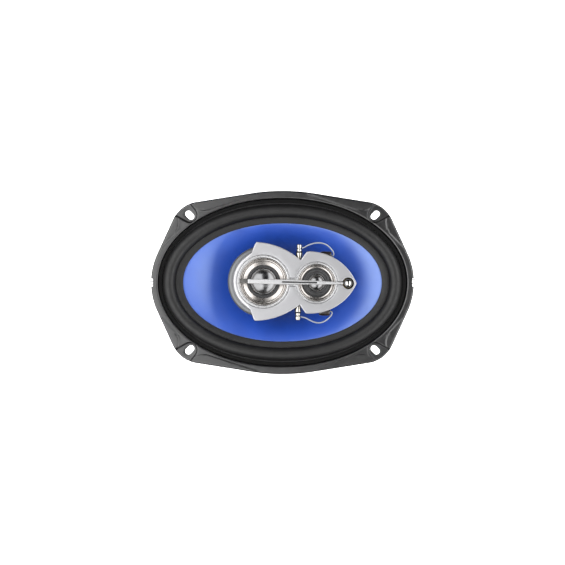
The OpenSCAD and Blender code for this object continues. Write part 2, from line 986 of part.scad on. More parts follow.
module bridge_cover() {
    half = cover_half();
    color([0.78, 0.79, 0.82])
        on_bridge()
            difference() {
                translate([0, 0, cover_bottom])
                    linear_extrude(cover_t)
                        difference() {
                            polygon(concat(half, mirrored(half)));
                            opening_plan(0);
                        }
                for (p = screw_places)
                    translate([p[0], p[1], 0])
                        disc(screw_r, cover_bottom - 1, 1 + screw_bite);
            }
}

module bezel_bar() {
    color([0.82, 0.83, 0.86]) {
        translate([0, 0, bar_bottom])
            linear_extrude(bar_top - bar_bottom)
                difference() {
                    polygon(concat(
                        [for (b = bar) [b[0], b[1] / 2]],
                        [for (i = [len(bar) - 1 : -1 : 0]) [bar[i][0], -bar[i][1] / 2]]));
                    translate([slit[0], -slit[2] / 2])
                        square([slit[1] - slit[0], slit[2]]);
                }
        translate([mid_x - ring_mid_r - 1, -foot_w / 2, foot_z[0]])
            cube([bar[0][0] + foot_inside - mid_x + ring_mid_r + 1, foot_w, foot_z[1] - foot_z[0]]);
        translate([bar[0][0], -foot_w / 2, foot_z[0]])
            cube([foot_inside, foot_w, bar_bottom + 0.5 - foot_z[0]]);
    }
}

module bridge_bezel() {
    on_bridge() {
        color([0.82, 0.83, 0.86])
            difference() {
                translate([0, 0, cover_bottom])
                    linear_extrude(bezel_top - cover_bottom)
                        opening_plan(bezel_gap);
                translate([mid_x, 0, 0])
                    disc(ring_mid_r, 0, clear);
                translate([tweeter_x, 0, 0])
                    disc(ring_tweeter_r, 0, clear);
                translate([super_x, 0, 0])
                    disc(open_super_r + bezel_gap, 0, clear);
            }
        translate([mid_x, 0, 0])
            washer(open_mid_r - bezel_gap, ring_mid_r, ledge_z, cover_bottom - ledge_z + 0.5);
        translate([tweeter_x, 0, 0])
            washer(open_tweeter_r - bezel_gap, ring_tweeter_r, ledge_z,
                cover_bottom - ledge_z + 0.5);
        bezel_bar();
    }
}

module cover_screws() {
    color([0.5, 0.5, 0.52])
        on_bridge()
            for (p = screw_places)
                translate([p[0], p[1], 0]) {
                    disc(screw_r, screw_seat - 1, cover_bottom + screw_bite - screw_seat + 1);
                    disc(2 * screw_r - 0.1, screw_seat - screw_head_t, screw_head_t);
                }
}

// ---- Small drivers ----

// An open cup: size holds its radius, wall, height and floor
module cup(size, z) {
    difference() {
        disc(size[0], z, size[2]);
        disc(size[0] - size[1], z + size[3], size[2]);
    }
}

// A thin dome with a flat edge: r is the dome's base, rise its height
module dome(r, rise, z) {
    big = (r * r + rise * rise) / (2 * rise);
    edge = asin(r / big);
    rotate_extrude($fn = 96)
        polygon(concat(
            arc([0, z + rise - big], big, 90, 90 - edge, 12),
            [[r + dome_edge, z], [r + dome_edge, z - dome_t]],
            arc([0, z + rise - big - dome_t], big, 90 - edge, 90, 12)));
}

// A flat ring with one raised line, which frames a dome
module ridged_ring(inner, outer, line, z, h) {
    washer(outer, inner, z, h);
    washer(line + 0.35, line - 0.35, z + h / 2, h / 2 + 0.5);
}

// A concave waveguide between a small radius below and a large one above
module bowl_horn(r_low, z_low, r_high) {
    z_high = bezel_top - bowl_inset;
    function at(s, out) = [
        r_low + (r_high - r_low) * sin(90 * s) + out * bowl_t,
        z_low + (z_high - z_low) * (1 - cos(90 * s))
    ];
    rotate_extrude($fn = 96)
        polygon(concat(
            [for (i = [0 : 8]) at(i / 8, 0)],
            [for (i = [8 : -1 : 0]) at(i / 8, 1) - [0, (i > 0 && i < 8) ? bowl_t * 0.6 : 0]]));
}

module mid_yoke() {
    color([0.75, 0.75, 0.7])
        at_mid()
            cup(mid_cup, mid_floor);
}

module mid_magnet() {
    color([0.5, 0.5, 0.52])
        at_mid()
            disc(mid_magnet_r, mid_floor + mid_cup[3], mid_magnet_t);
}

module mid_pole() {
    color([0.75, 0.75, 0.7])
        at_mid()
            disc(mid_dome_d / 2 - 0.7, mid_floor + mid_cup[3] + mid_magnet_t, mid_pole_t);
}

module mid_coil() {
    color([0.72, 0.38, 0.16])
        at_mid()
            washer(mid_dome_d / 2 + 0.5, mid_dome_d / 2 - 0.1, mid_floor + mid_coil_z,
                mid_dome_z - dome_t - mid_coil_z);
}

module mid_dome() {
    color([0.8, 0.81, 0.83])
        at_mid()
            dome(mid_dome_d / 2, mid_dome_rise, mid_floor + mid_dome_z);
}

module mid_ring() {
    color([0.12, 0.12, 0.12])
        at_mid()
            ridged_ring(mid_dome_d / 2 + 1.1, mid_ring_r, mid_ring_line, mid_floor + mid_cup[2],
                mid_ring_t);
}

module mid_bowl() {
    color([0.8, 0.8, 0.82])
        at_mid()
            difference() {
                bowl_horn(mid_bowl_r, mid_floor + mid_cup[2] + mid_ring_t, ring_mid_r - bowl_lip);
                translate([-ring_mid_r - 1, -foot_w / 2 - bezel_gap, foot_z[0] - bezel_gap])
                    cube([10, foot_w + 2 * bezel_gap, 10]);
            }
}

module tweeter_yoke() {
    color([0.75, 0.75, 0.7])
        at_tweeter()
            cup(tweeter_cup, tweeter_floor);
}

module tweeter_magnet() {
    color([0.5, 0.5, 0.52])
        at_tweeter()
            disc(tweeter_magnet_r, tweeter_floor + tweeter_cup[3], tweeter_magnet_t);
}

module tweeter_pole() {
    color([0.75, 0.75, 0.7])
        at_tweeter()
            disc(tweeter_dome_d / 2 - 0.6, tweeter_floor + tweeter_cup[3] + tweeter_magnet_t,
                tweeter_pole_t);
}

module tweeter_coil() {
    color([0.72, 0.38, 0.16])
        at_tweeter()
            washer(tweeter_dome_d / 2 + 0.5, tweeter_dome_d / 2, tweeter_floor + tweeter_coil_z,
                tweeter_dome_z - dome_t - tweeter_coil_z);
}

module tweeter_dome() {
    color([0.8, 0.81, 0.83])
        at_tweeter()
            dome(tweeter_dome_d / 2, tweeter_dome_rise, tweeter_floor + tweeter_dome_z);
}

module tweeter_ring() {
    color([0.12, 0.12, 0.12])
        at_tweeter()
            ridged_ring(tweeter_dome_d / 2 + 1.1, tweeter_ring_r, tweeter_ring_line,
                tweeter_floor + tweeter_cup[2], tweeter_ring_t);
}

module tweeter_bowl() {
    color([0.8, 0.8, 0.82])
        at_tweeter()
            bowl_horn(tweeter_bowl_r, tweeter_floor + tweeter_cup[2] + tweeter_ring_t,
                ring_tweeter_r - bowl_lip);
}

module super_well() {
    color([0.1, 0.1, 0.1])
        at_super()
            cup([well_r, well_wall, cover_bottom - 0.1 - well_bottom, well_floor], well_bottom);
}

module piezo_disc() {
    color([0.8, 0.66, 0.32])
        at_super()
            disc(piezo_r, well_bottom + well_floor, piezo_t);
}

module super_ball() {
    color([0.9, 0.9, 0.92])
        at_super() {
            disc(ball_stem_r, well_bottom + well_floor + piezo_t, bridge_h - ball_d / 2 - well_bottom);
            translate([0, 0, bridge_h - ball_drop])
                sphere(d = ball_d, $fn = 64);
        }
}

// ---- Leads of the bridge ----

module lead_pair() {
    on_bridge()
        for (s = [-1, 1])
            translate([lead_x, 0, lead_z])
                rotate([-90 * s, 0, 0])
                    children();
}

module lead_posts() {
    color([0.82, 0.8, 0.74])
        lead_pair() {
            translate([0, 0, lead_face + glue])
                cylinder(r = collar_r, h = collar_end - lead_face - glue, $fn = 48);
            translate([0, 0, collar_end])
                cylinder(r = neck_pin_r, h = bush_w, $fn = 48);
            translate([0, 0, collar_end + bush_w])
                cylinder(r = barrel_r, h = barrel_end - collar_end - bush_w, $fn = 48);
        }
}

module post_bushes() {
    color([0.1, 0.1, 0.1])
        lead_pair()
            washer(bush_r, neck_pin_r, collar_end, bush_w);
}

module crossover_capacitors() {
    color([0.25, 0.16, 0.1])
        on_bridge()
            for (p = capacitors)
                translate([p[0], p[1], cover_bottom - capacitor_r - glue])
                    rotate([0, 90, 0])
                        cylinder(r = capacitor_r, h = capacitor_l, center = true, $fn = 48);
}

module bridge_lead_upper() {
    color([0.75, 0.76, 0.78])
        on_bridge()
            wire(upper_route, wire_d, [0, 0, 1]);
}

module bridge_lead_lower() {
    color([0.75, 0.76, 0.78])
        on_bridge()
            wire(lower_route, wire_d, [0, 0, 1]);
}

basket();
front_gasket();
surround();
cone();
voice_coil_former();
voice_coil();
dust_ring();
cone_eyelets();
spider();
top_plate();
magnet();
yoke();
magnet_boot();
plate_rivets();
terminal_board();
board_rivets();
positive_tab();
negative_tab();
tab_rivets();
tinsel_lead_positive();
tinsel_lead_negative();
flex_lead_positive();
flex_lead_negative();
bridge_post();
post_nut();
bridge_body();
bridge_cover();
bridge_bezel();
cover_screws();
mid_yoke();
mid_magnet();
mid_pole();
mid_coil();
mid_dome();
mid_ring();
mid_bowl();
tweeter_yoke();
tweeter_magnet();
tweeter_pole();
tweeter_coil();
tweeter_dome();
tweeter_ring();
tweeter_bowl();
super_well();
piezo_disc();
super_ball();
lead_posts();
post_bushes();
crossover_capacitors();
bridge_lead_upper();
bridge_lead_lower();
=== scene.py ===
import math

import bmesh
import bpy
import numpy as np
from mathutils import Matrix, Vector
from mathutils.geometry import convex_hull_2d, delaunay_2d_cdt


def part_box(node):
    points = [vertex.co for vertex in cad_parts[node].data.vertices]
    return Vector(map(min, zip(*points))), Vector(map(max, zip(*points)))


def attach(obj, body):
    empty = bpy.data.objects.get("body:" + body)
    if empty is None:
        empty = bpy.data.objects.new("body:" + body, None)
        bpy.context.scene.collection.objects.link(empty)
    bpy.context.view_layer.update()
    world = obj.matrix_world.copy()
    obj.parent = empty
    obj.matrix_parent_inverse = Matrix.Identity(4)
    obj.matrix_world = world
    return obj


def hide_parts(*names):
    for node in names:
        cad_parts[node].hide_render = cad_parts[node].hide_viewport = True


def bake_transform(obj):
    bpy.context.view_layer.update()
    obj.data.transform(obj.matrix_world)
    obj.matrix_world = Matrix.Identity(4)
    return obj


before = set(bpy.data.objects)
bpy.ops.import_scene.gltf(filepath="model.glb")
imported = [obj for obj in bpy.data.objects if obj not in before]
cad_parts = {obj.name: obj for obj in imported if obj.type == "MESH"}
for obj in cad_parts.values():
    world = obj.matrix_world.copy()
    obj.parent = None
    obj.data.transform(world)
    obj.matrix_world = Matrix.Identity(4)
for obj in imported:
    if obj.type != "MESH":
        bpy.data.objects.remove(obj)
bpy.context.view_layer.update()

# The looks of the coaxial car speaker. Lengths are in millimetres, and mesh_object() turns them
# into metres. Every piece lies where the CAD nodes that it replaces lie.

MM = 0.001


def node_box(node):
    """Lowest and highest corner of a CAD node, in millimetres."""
    lo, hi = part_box(node)
    return np.array(lo) / MM, np.array(hi) / MM


# ---- Driving dimensions ----

FULLNESS = 2.04
SHEET = 1.2

DECK_Z = node_box("basket")[1][2]
FLANGE = np.array([119.0, node_box("basket")[1][1]])
EAR_R = 26.9
EAR = np.array([74.5, 46.2])
SLOT = np.array([84.0, 61.0])
SLOT_SIZE = np.array([9.2, 5.9])
PAD_R = 6.5
PAD_DEPTH = 1.8
HEM_R = 1.6
STEP = np.array([112.6, 75.9])
LANDING = np.array([105.6, 68.4])
LANDING_Z = -0.4
STEP_R = 1.4
NOTCH = np.array([1.8, 7.3])
TONGUES_RIGHT, TONGUES_LEFT = (2.4, -1.2), (0.8, -2.1)
TONGUE_W = 0.8

GASKET_LO, GASKET_HI = node_box("front_gasket")
GASKET_W = 2.7
ROLL_OUT = np.array([108.3, 70.9])
ROLL_IN = np.array([96.7, 59.3])
ROLL_TOP = node_box("surround")[1][2]
LIP = node_box("surround")[1][:2]
LIP_T = 0.8

CONE = np.array([90.0, 53.5])
CONE_EDGE = ROLL_IN - 0.4
CONE_LOW = node_box("cone")[0][2]
CONE_DEPTH = 31.0
CONE_T = 1.0
STRAIGHT = 0.6
NECK_R = 19.35

WALL_LEAN = math.atan((66.4 - 58.9) / 27.5)
SHELF_Z = -38.0
SHELF = (45.5, 57.2)
SPOKES = 8
SPOKE_SHARE = 1 / 3
SPOKE_LINES = np.array([0.9, 1.8, 2.7, 3.6])
RIB_H, RIB_HALF = 1.1, 3.6
PLATE_TOP = node_box("top_plate")[1][2]

MID_X, TWEETER_X, SUPER_X = -17.0, 30.5, 58.5
COVER_BOTTOM, FACE_Z = (corner[2] for corner in node_box("bridge_cover"))
BODY_BOTTOM = -0.5
BEZEL_TOP = FACE_Z - 0.4
LEDGE_Z = COVER_BOTTOM - 1.3
DRUM_R = 32.0
OPEN_MID_R, RING_MID_R, POCKET_MID_R, MID_FLOOR = 23.8, 21.3, 21.6, 5.0
OPEN_TW_R, RING_TW_R, POCKET_TW_R, TW_FLOOR = 18.65, 16.6, 16.9, 6.0
OPEN_SUPER_R, NOSE_R = 5.15, 6.7
BAR = ((-31, 3.9), (-2.4, 4.5), (37.6, 3), (51, 2.1), (54, 2))
BAR_Z = (BEZEL_TOP - 0.3, FACE_Z + 1.5)
SLIT = (-0.6, 31.0, 1.4)
FOOT_W = 3.8
FOOT_X = (MID_X - RING_MID_R - 1, BAR[0][0] + 4)
FOOT_Z = (LEDGE_Z + 0.4, LEDGE_Z + 1.6)
STRIP_HALF, NOSE_STRIP_HALF = 3.65, 1.35
LEAD_X, LEAD_Z = 14.4, COVER_BOTTOM - 4
WIRE_D = 1.2
CORNERS = ((-1, -1), (-1, 1), (1, -1), (1, 1))

SCREWS = ((-40.6, 10.2), (-40.6, -10.2), (9.6, 10.0), (9.6, -10.0))
DISH_LEAN = math.radians(24)
BOARD_Z, BOARD_T = -24.0, 1.6
TAB_T, TAB_DROP, TAB_ROOT, TAB_RIVET_Z = 0.8, 20.0, 3.4, -4.0
# Each blade's place on the board and its width
TABS = {"positive_blade": (11.4, 4.75), "negative_blade": (-11.4, 2.8)}

BOOT_LO, BOOT_HI = node_box("magnet_boot")


# The bridge's own axes, from the centres of its first and last driver
MID_CENTRE, SUPER_CENTRE = (np.mean(node_box(node), axis=0)[:2] for node in ("mid_dome", "super_ball"))
ALONG = (SUPER_CENTRE - MID_CENTRE) / np.linalg.norm(SUPER_CENTRE - MID_CENTRE)
TURN = np.array([(ALONG[0], -ALONG[1]), (ALONG[1], ALONG[0])])
BRIDGE_ORIGIN = MID_CENTRE - MID_X * ALONG


def on_bridge(points):
    """Points given in the bridge's axes, moved to the speaker's axes."""
    moved = np.array(points, float)
    moved[:, :2] = moved[:, :2] @ TURN.T + BRIDGE_ORIGIN
    return moved


# ---- Outlines ----


def signed_power(value, power):
    return np.sign(value) * np.abs(value) ** power


def oval_at(axes, t, fullness=FULLNESS):
    """Points of an oval at the angles t."""
    return np.stack([
        axes[0] * signed_power(np.cos(t), 2 / fullness),
        axes[1] * signed_power(np.sin(t), 2 / fullness),
    ], axis=-1)


def angles(count):
    return np.arange(count) * 2 * math.pi / count


def circle(centre, radius, count):
    t = angles(count)[:, None]
    return centre + radius * np.hstack([np.cos(t), np.sin(t)])


def arc(centre, radius, start, end, steps):
    t = np.radians(np.linspace(start, end, steps + 1))[:, None]
    return centre + radius * np.hstack([np.cos(t), np.sin(t)])


def at_height(loop, z):
    """A flat line lifted to one height, or to one height for each point."""
    return np.column_stack([loop, np.broadcast_to(z, len(loop))])


def smoothstep(low, high, value):
    t = np.clip((value - low) / (high - low), 0, 1)
    return t * t * (3 - 2 * t)


def soften(points, radii, steps=5, closed=True):
    """Rounds the corners of a polyline; radii holds one radius per point, and 0 keeps the point."""
    points = [np.asarray(p, float) for p in points]
    count = len(points)
    out = []
    for i, (p, r) in enumerate(zip(points, radii)):
        if r == 0 or (not closed and i in (0, count - 1)):
            out.append(p)
            continue
        before, after = points[i - 1] - p, points[(i + 1) % count] - p
        a = p + before * min(r / np.linalg.norm(before), 0.49)
        b = p + after * min(r / np.linalg.norm(after), 0.49)
        for s in np.linspace(0, 1, steps + 1):
            out.append((1 - s) ** 2 * a + 2 * s * (1 - s) * p + s * s * b)
    return np.array(out)


def subdivided(loop, pitch):
    """A closed loop with points at most pitch apart; its own points stay."""
    out = []
    for a, b in zip(loop, np.roll(loop, -1, axis=0)):
        steps = max(1, math.ceil(np.linalg.norm(b - a) / pitch))
        out += [a + (b - a) * s / steps for s in range(steps)]
    return np.array(out)


def run_length(line):
    """How far along a line each of its points lies."""
    return np.concatenate([[0], np.cumsum(np.linalg.norm(np.diff(line, axis=0), axis=1))])


def signed_area(loop):
    x, y = loop[:, 0], loop[:, 1]
    return 0.5 * np.sum(x * np.roll(y, -1) - np.roll(x, -1) * y)


def inside(points, loop):
    """Whether each point lies inside a closed loop."""
    result = np.zeros(len(points), bool)
    x, y = points[:, 0], points[:, 1]
    for (x0, y0), (x1, y1) in zip(loop, np.roll(loop, -1, axis=0)):
        if y0 == y1:
            continue
        crosses = (y0 > y) != (y1 > y)
        result ^= crosses & (x < x0 + (y - y0) * (x1 - x0) / (y1 - y0))
    return result


def distance(points, loop):
    """Distance of each point from a closed loop."""
    best = np.full(len(points), 1e9)
    for a, b in zip(loop, np.roll(loop, -1, axis=0)):
        d = b - a
        t = np.clip(((points - a) @ d) / (d @ d), 0, 1)
        best = np.minimum(best, np.linalg.norm(points - a - t[:, None] * d, axis=1))
    return best


def offset_points(loop, distances, hole=False):
    """Points at the given distances from a loop, on the plate's side of it."""
    if (signed_area(loop) > 0) == hole:
        loop = loop[::-1]
    along = np.roll(loop, -1, axis=0) - np.roll(loop, 1, axis=0)
    along /= np.linalg.norm(along, axis=1)[:, None]
    normal = np.stack([-along[:, 1], along[:, 0]], axis=-1)
    out = []
    for d in distances:
        moved = loop + normal * d
        out.append(moved[distance(moved, loop) > 0.97 * d])
    return np.vstack(out)


def hex_grid(lo, hi, pitch):
    rows = np.arange(lo[1], hi[1], pitch * math.sqrt(3) / 2)
    return np.array([
        (x + (k % 2) * pitch / 2, y) for k, y in enumerate(rows) for x in np.arange(lo[0], hi[0], pitch)
    ])


def in_plate(points, loops, gap=0.0):
    """Whether each point lies in the plate and at least gap from its loops."""
    keep = inside(points, loops[0])
    for hole in loops[1:]:
        keep &= ~inside(points, hole)
    if gap:
        for loop in loops:
            keep &= distance(points, loop) > gap
    return keep


def plate_points(loops, extra, gap):
    """The extra points that lie in the plate and at least gap from its loops."""
    return extra[in_plate(extra, loops, gap)]


# ---- Meshes ----


def linked_mesh(name, mesh, sharp=35):
    """A new object in the scene, smooth but for its edges sharper than the given angle."""
    smooth(mesh, sharp)
    made = bpy.data.objects.new(name, mesh)
    bpy.context.scene.collection.objects.link(made)
    return made


def mesh_object(name, points, faces, sharp=35, bridge=False):
    """A new object; its points are in millimetres, in the bridge's axes or in the speaker's."""
    points = on_bridge(points) if bridge else np.asarray(points, float)
    mesh = bpy.data.meshes.new(name)
    mesh.from_pydata((points * MM).tolist(), [], [list(map(int, f)) for f in faces])
    bm = bmesh.new()
    bm.from_mesh(mesh)
    bmesh.ops.remove_doubles(bm, verts=bm.verts, dist=1e-3 * MM)
    bmesh.ops.delete(bm, geom=[v for v in bm.verts if not v.link_faces], context="VERTS")
    bmesh.ops.recalc_face_normals(bm, faces=bm.faces)
    bm.to_mesh(mesh)
    bm.free()
    return linked_mesh(name, mesh, sharp)


def smooth(mesh, sharp):
    mesh.shade_smooth()
    mesh.set_sharp_from_angle(angle=math.radians(sharp))


def grid_faces(rows, columns, closed):
    """Quads between rings of points; closed joins the last ring to the first."""
    faces = []
    for i in range(rows if closed else rows - 1):
        k = (i + 1) % rows
        for j in range(columns):
            l = (j + 1) % columns
            faces.append((i * columns + j, i * columns + l, k * columns + l, k * columns + j))
    return faces


def band(name, rings, sharp=35):
    """A closed solid whose rings go once round its section."""
    rings = np.array(rings)
    return mesh_object(name, rings.reshape(-1, 3), grid_faces(len(rings), len(rings[0]), True), sharp)


def oval_band(name, profile, count=512, sharp=35):
    """An oval solid: profile holds (semi-axis along X, semi-axis along Y, z)."""
    t = angles(count)
    return band(name, [at_height(oval_at((a, b), t), z) for a, b, z in profile], sharp)


def lathe_mesh(profile, count, centre=(0, 0)):
    """Points and faces of a solid of revolution; profile holds (radius, z) round its section."""
    rings = [at_height(circle(centre, r, count), z) for r, z in profile]
    return np.vstack(rings), grid_faces(len(profile), count, True)


def lathe(name, profile, count=160, centre=(0, 0), bridge=False, sharp=35):
    return mesh_object(name, *lathe_mesh(profile, count, centre), sharp, bridge)


def triangulated(loops, extra):
    """Points and triangles of a plate, and which of its points each loop runs through."""
    flat = np.vstack([*loops, extra])
    edges, start = [], 0
    for loop in loops:
        edges += [(start + i, start + (i + 1) % len(loop)) for i in range(len(loop))]
        start += len(loop)
    found, _, triangles, origin, _, _ = delaunay_2d_cdt([Vector(p) for p in flat], edges, [], 0, 1e-4)
    found, triangles = np.array([tuple(p) for p in found]), np.array(triangles)
    keep = in_plate(found[triangles].mean(axis=1), loops)
    place = {s: k for k, sources in enumerate(origin) for s in sources}
    borders, start = [], 0
    for loop in loops:
        borders.append([place[start + i] for i in range(len(loop))])
        start += len(loop)
    return found, triangles[keep], borders


def relief(name, loops, extra, top, bottom, walls=None, bridge=False, sharp=35):
    """A closed plate between two heights, which are functions of its points.

    loops[0] is the outline and the others are holes. walls may hold, for each loop, the rings of
    points that lead from its top edge to its bottom edge."""
    found, triangles, borders = triangulated(loops, extra)
    count = len(found)
    points = [np.column_stack([found, top(found)]), np.column_stack([found, bottom(found)])]
    faces = [*triangles, *(triangles[:, ::-1] + count)]
    used = 2 * count
    for k, upper in enumerate(borders):
        rings = [upper]
        for ring in (walls[k] if walls else []):
            points.append(ring)
            rings.append(list(range(used, used + len(ring))))
            used += len(ring)
        rings.append([i + count for i in upper])
        for a, b in zip(rings, rings[1:]):
            faces += [(a[i], a[i - 1], b[i - 1], b[i]) for i in range(len(upper))]
    return mesh_object(name, np.vstack(points), faces, sharp, bridge)


def edge_drop(d, radius):
    """How far a rounded edge lies below the face, at a distance from the edge."""
    left = np.clip(radius - d, 0, radius)
    return radius - np.sqrt(radius ** 2 - left ** 2)


def box_object(name, lo, hi, bevel=0.3, bridge=False):
    """A box with rounded edges."""
    bm = bmesh.new()
    bmesh.ops.create_cube(bm, size=1)
    lo, hi = np.array(lo, float), np.array(hi, float)
    for v in bm.verts:
        v.co = Vector((lo + hi) / 2 + np.array(v.co) * (hi - lo))
    if bevel:
        bmesh.ops.bevel(bm, geom=bm.edges[:], offset=bevel, segments=3, profile=0.5, affect="EDGES")
    points = [tuple(v.co) for v in bm.verts]
    faces = [[v.index for v in f.verts] for f in bm.faces]
    bm.free()
    return mesh_object(name, points, faces, 35, bridge)


def combine(target, others, operation, sharp=35):
    """Joins others to the target, or cuts them from it, and removes them."""
    for other in others:
        modifier = target.modifiers.new("combine", "BOOLEAN")
        modifier.operation = operation
        modifier.solver = "EXACT"
        modifier.object = other
    depsgraph = bpy.context.evaluated_depsgraph_get()
    result = bpy.data.meshes.new_from_object(target.evaluated_get(depsgraph))
    target.modifiers.clear()
    target.data = result
    for other in others:
        bpy.data.objects.remove(other)
    smooth(target.data, sharp)
    return target


def joined(name, objects):
    """One object that holds the meshes of several, as separate solids."""
    bm = bmesh.new()
    for o in objects:
        bm.from_mesh(o.data)
        bpy.data.objects.remove(o)
    mesh = bpy.data.meshes.new(name)
    bm.to_mesh(mesh)
    bm.free()
    return linked_mesh(name, mesh)


def curve_through(route, steps=6):
    """A smooth line through given points."""
    p = np.asarray(route, float)
    out = []
    for i in range(len(p) - 1):
        a, b, c, d = p[max(i - 1, 0)], p[i], p[i + 1], p[min(i + 2, len(p) - 1)]
        for s in range(steps):
            t = s / steps
            out.append(0.5 * (
                2 * b + (c - a) * t + (2 * a - 5 * b + 4 * c - d) * t ** 2
                + (3 * b - a - 3 * c + d) * t ** 3
            ))
    return np.array([*out, p[-1]])


def frames_along(line):
    """Two directions across a line at each of its points, without twist."""
    along = np.gradient(line, axis=0)
    along /= np.linalg.norm(along, axis=1)[:, None]
    u = np.cross(along[0], (0.0, 0.0, 1.0) if abs(along[0][2]) < 0.9 else (1.0, 0.0, 0.0))
    across = []
    for a in along:
        u = u - a * (u @ a)
        u /= np.linalg.norm(u)
        across.append((u, np.cross(a, u)))
    return across


def tube_rings(line, radii, sides):
    t = angles(sides)
    rings = []
    for p, (u, v), r in zip(line, frames_along(line), radii):
        rings.append(p + r * (np.outer(np.cos(t), u) + np.outer(np.sin(t), v)))
    return rings


def capped(name, rings, bridge=False):
    """A closed tube: its rings in order, with flat ends."""
    count = len(rings[0])
    faces = grid_faces(len(rings), count, False)
    faces.append(list(range(count))[::-1])
    faces.append([(len(rings) - 1) * count + i for i in range(count)])
    return mesh_object(name, np.vstack(rings), faces, 50, bridge)


def wire(name, route, bridge=False):
    """An insulated wire through given points."""
    line = curve_through(route)
    return capped(name, tube_rings(line, [WIRE_D / 2] * len(line), 14), bridge)


def braided(name, route, diameter):
    """A lead of three strands that wind round each other."""
    strands, turn_length = 3, 5.0
    line = curve_through(route, 14)
    length, across = run_length(line), frames_along(line)
    pieces = []
    for k in range(strands):
        turn = 2 * math.pi * (length / turn_length + k / strands)
        path = np.array([
            p + 0.27 * diameter * (u * math.cos(a) + v * math.sin(a))
            for p, (u, v), a in zip(line, across, turn)
        ])
        pieces.append(capped("strand", tube_rings(path, [0.25 * diameter] * len(path), 8)))
    return joined(name, pieces)


def finish_piece(piece, material, slot, body, *nodes):
    """Gives a piece its material, its body and the CAD nodes that it stands for."""
    piece.data.materials.clear()
    piece.data.materials.append(material)
    if body:
        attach(piece, body)
    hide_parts(*nodes)
    return piece


def points_of(piece):
    points = np.zeros(len(piece.data.vertices) * 3)
    piece.data.vertices.foreach_get("co", points)
    return points.reshape(-1, 3) / MM


# ---- Materials ----


def add_node(tree, kind, links=None, values=None, **settings):
    """A new shader node with its settings, its sockets' values and what feeds them."""
    made = tree.nodes.new(kind)
    for key, value in settings.items():
        setattr(made, key, value)
    for key, value in (values or {}).items():
        made.inputs[key].default_value = value
    for key, socket in (links or {}).items():
        tree.links.new(socket, made.inputs[key])
    return made


class Paint:
    """A material under construction: one Principled shader and the textures that feed it."""

    def __init__(self, name, **sockets):
        self.material = bpy.data.materials.new(name)
        self.material.use_nodes = True
        self.tree = self.material.node_tree
        self.shader = self.tree.nodes["Principled BSDF"]
        self.coords = self.node("ShaderNodeTexCoord").outputs["Object"]
        for socket, value in sockets.items():
            self.shader.inputs[socket.replace("_", " ")].default_value = value

    def node(self, kind, links=None, values=None, **settings):
        return add_node(self.tree, kind, links, values, **settings)

    def feed(self, socket, name):
        self.tree.links.new(socket, self.shader.inputs[name])

    def noise(self, size, detail=2.0, stretch=None):
        """Noise whose blobs are about size millimetres across; stretch scales its coordinates."""
        coords = self.coords
        if stretch:
            coords = self.node("ShaderNodeMapping", {"Vector": coords}, {"Scale": stretch}).outputs[0]
        values = {"Scale": 1 / (size * MM), "Detail": detail}
        return self.node("ShaderNodeTexNoise", {"Vector": coords}, values).outputs[0]

    def cells(self, size, output="Distance"):
        scale = 1 / (size * MM)
        return self.node("ShaderNodeTexVoronoi", {"Vector": self.coords}, {"Scale": scale}).outputs[output]

    def ridges(self, size, direction, distortion=0.0):
        """Sine ridges in bands, size millimetres from one to the next."""
        return self.node(
            "ShaderNodeTexWave", {"Vector": self.coords},
            {"Scale": 0.314 / (size * MM), "Distortion": distortion, "Detail": 0.0},
            wave_type="BANDS", wave_profile="SIN", bands_direction=direction,
        ).outputs["Fac"]

    def spread(self, value, low, high, source=(0.3, 0.7)):
        limits = {"From Min": source[0], "From Max": source[1], "To Min": low, "To Max": high}
        return self.node("ShaderNodeMapRange", {"Value": value}, limits).outputs["Result"]

    def sum_of(self, first, second):
        return self.node("ShaderNodeMath", {0: first, 1: second}, operation="ADD").outputs[0]

    def product(self, value, factor):
        return self.node("ShaderNodeMath", {0: value}, {1: factor}, operation="MULTIPLY").outputs[0]

    def colours(self, value, low, high, source=(0.3, 0.7)):
        factor = self.spread(value, 0, 1, source)
        ends = {6: (*low, 1), 7: (*high, 1)}
        self.feed(self.node("ShaderNodeMix", {0: factor}, ends, data_type="RGBA").outputs[2], "Base Color")

    def rough(self, value, low, high):
        self.feed(self.spread(value, low, high), "Roughness")

    def bump(self, height, depth):
        """Raises the surface by depth millimetres where height is 1."""
        size = {"Distance": depth * MM, "Strength": 1.0}
        self.feed(self.node("ShaderNodeBump", {"Height": height}, size).outputs[0], "Normal")


def surface(name, shade, low, high, patches, roughness, texture, depth, **sockets):
    """A material with three noises, each (size, detail, stretch): one shades it from the low
    colour to the high one, one varies its roughness and one raises its surface by depth."""
    p = Paint(name, **sockets)
    p.colours(p.noise(*shade), low, high)
    p.rough(p.noise(*patches), *roughness)
    p.bump(p.noise(*texture), depth)
    return p.material


def polypropylene():
    """Blue injected cone, with a satin skin and faint flow marks."""
    p = Paint(
        "polypropylene", Coat_Weight=0.6, Coat_Roughness=0.42, Coat_IOR=1.6, Specular_IOR_Level=1.0,
        Specular_Tint=(0.75, 0.98, 1.0, 1))
    flow = p.noise(22, 3, (1, 1, 0.3))
    p.colours(flow, (0.005, 0.040, 0.29), (0.008, 0.051, 0.34))
    p.rough(p.noise(2.5, 3), 0.34, 0.44)
    p.bump(p.sum_of(p.noise(0.25, 2), p.product(p.noise(6, 2), 1.5)), 0.012)
    return p.material


def winding():
    """Enamelled copper wire, one turn after another along Z."""
    p = Paint("winding", Metallic=1.0, Coat_Weight=0.6, Coat_Roughness=0.15)
    p.colours(p.noise(5, 2), (0.55, 0.22, 0.07), (0.78, 0.36, 0.14))
    p.rough(p.noise(1, 2), 0.22, 0.34)
    p.bump(p.ridges(0.3, "Z"), 0.12)
    return p.material


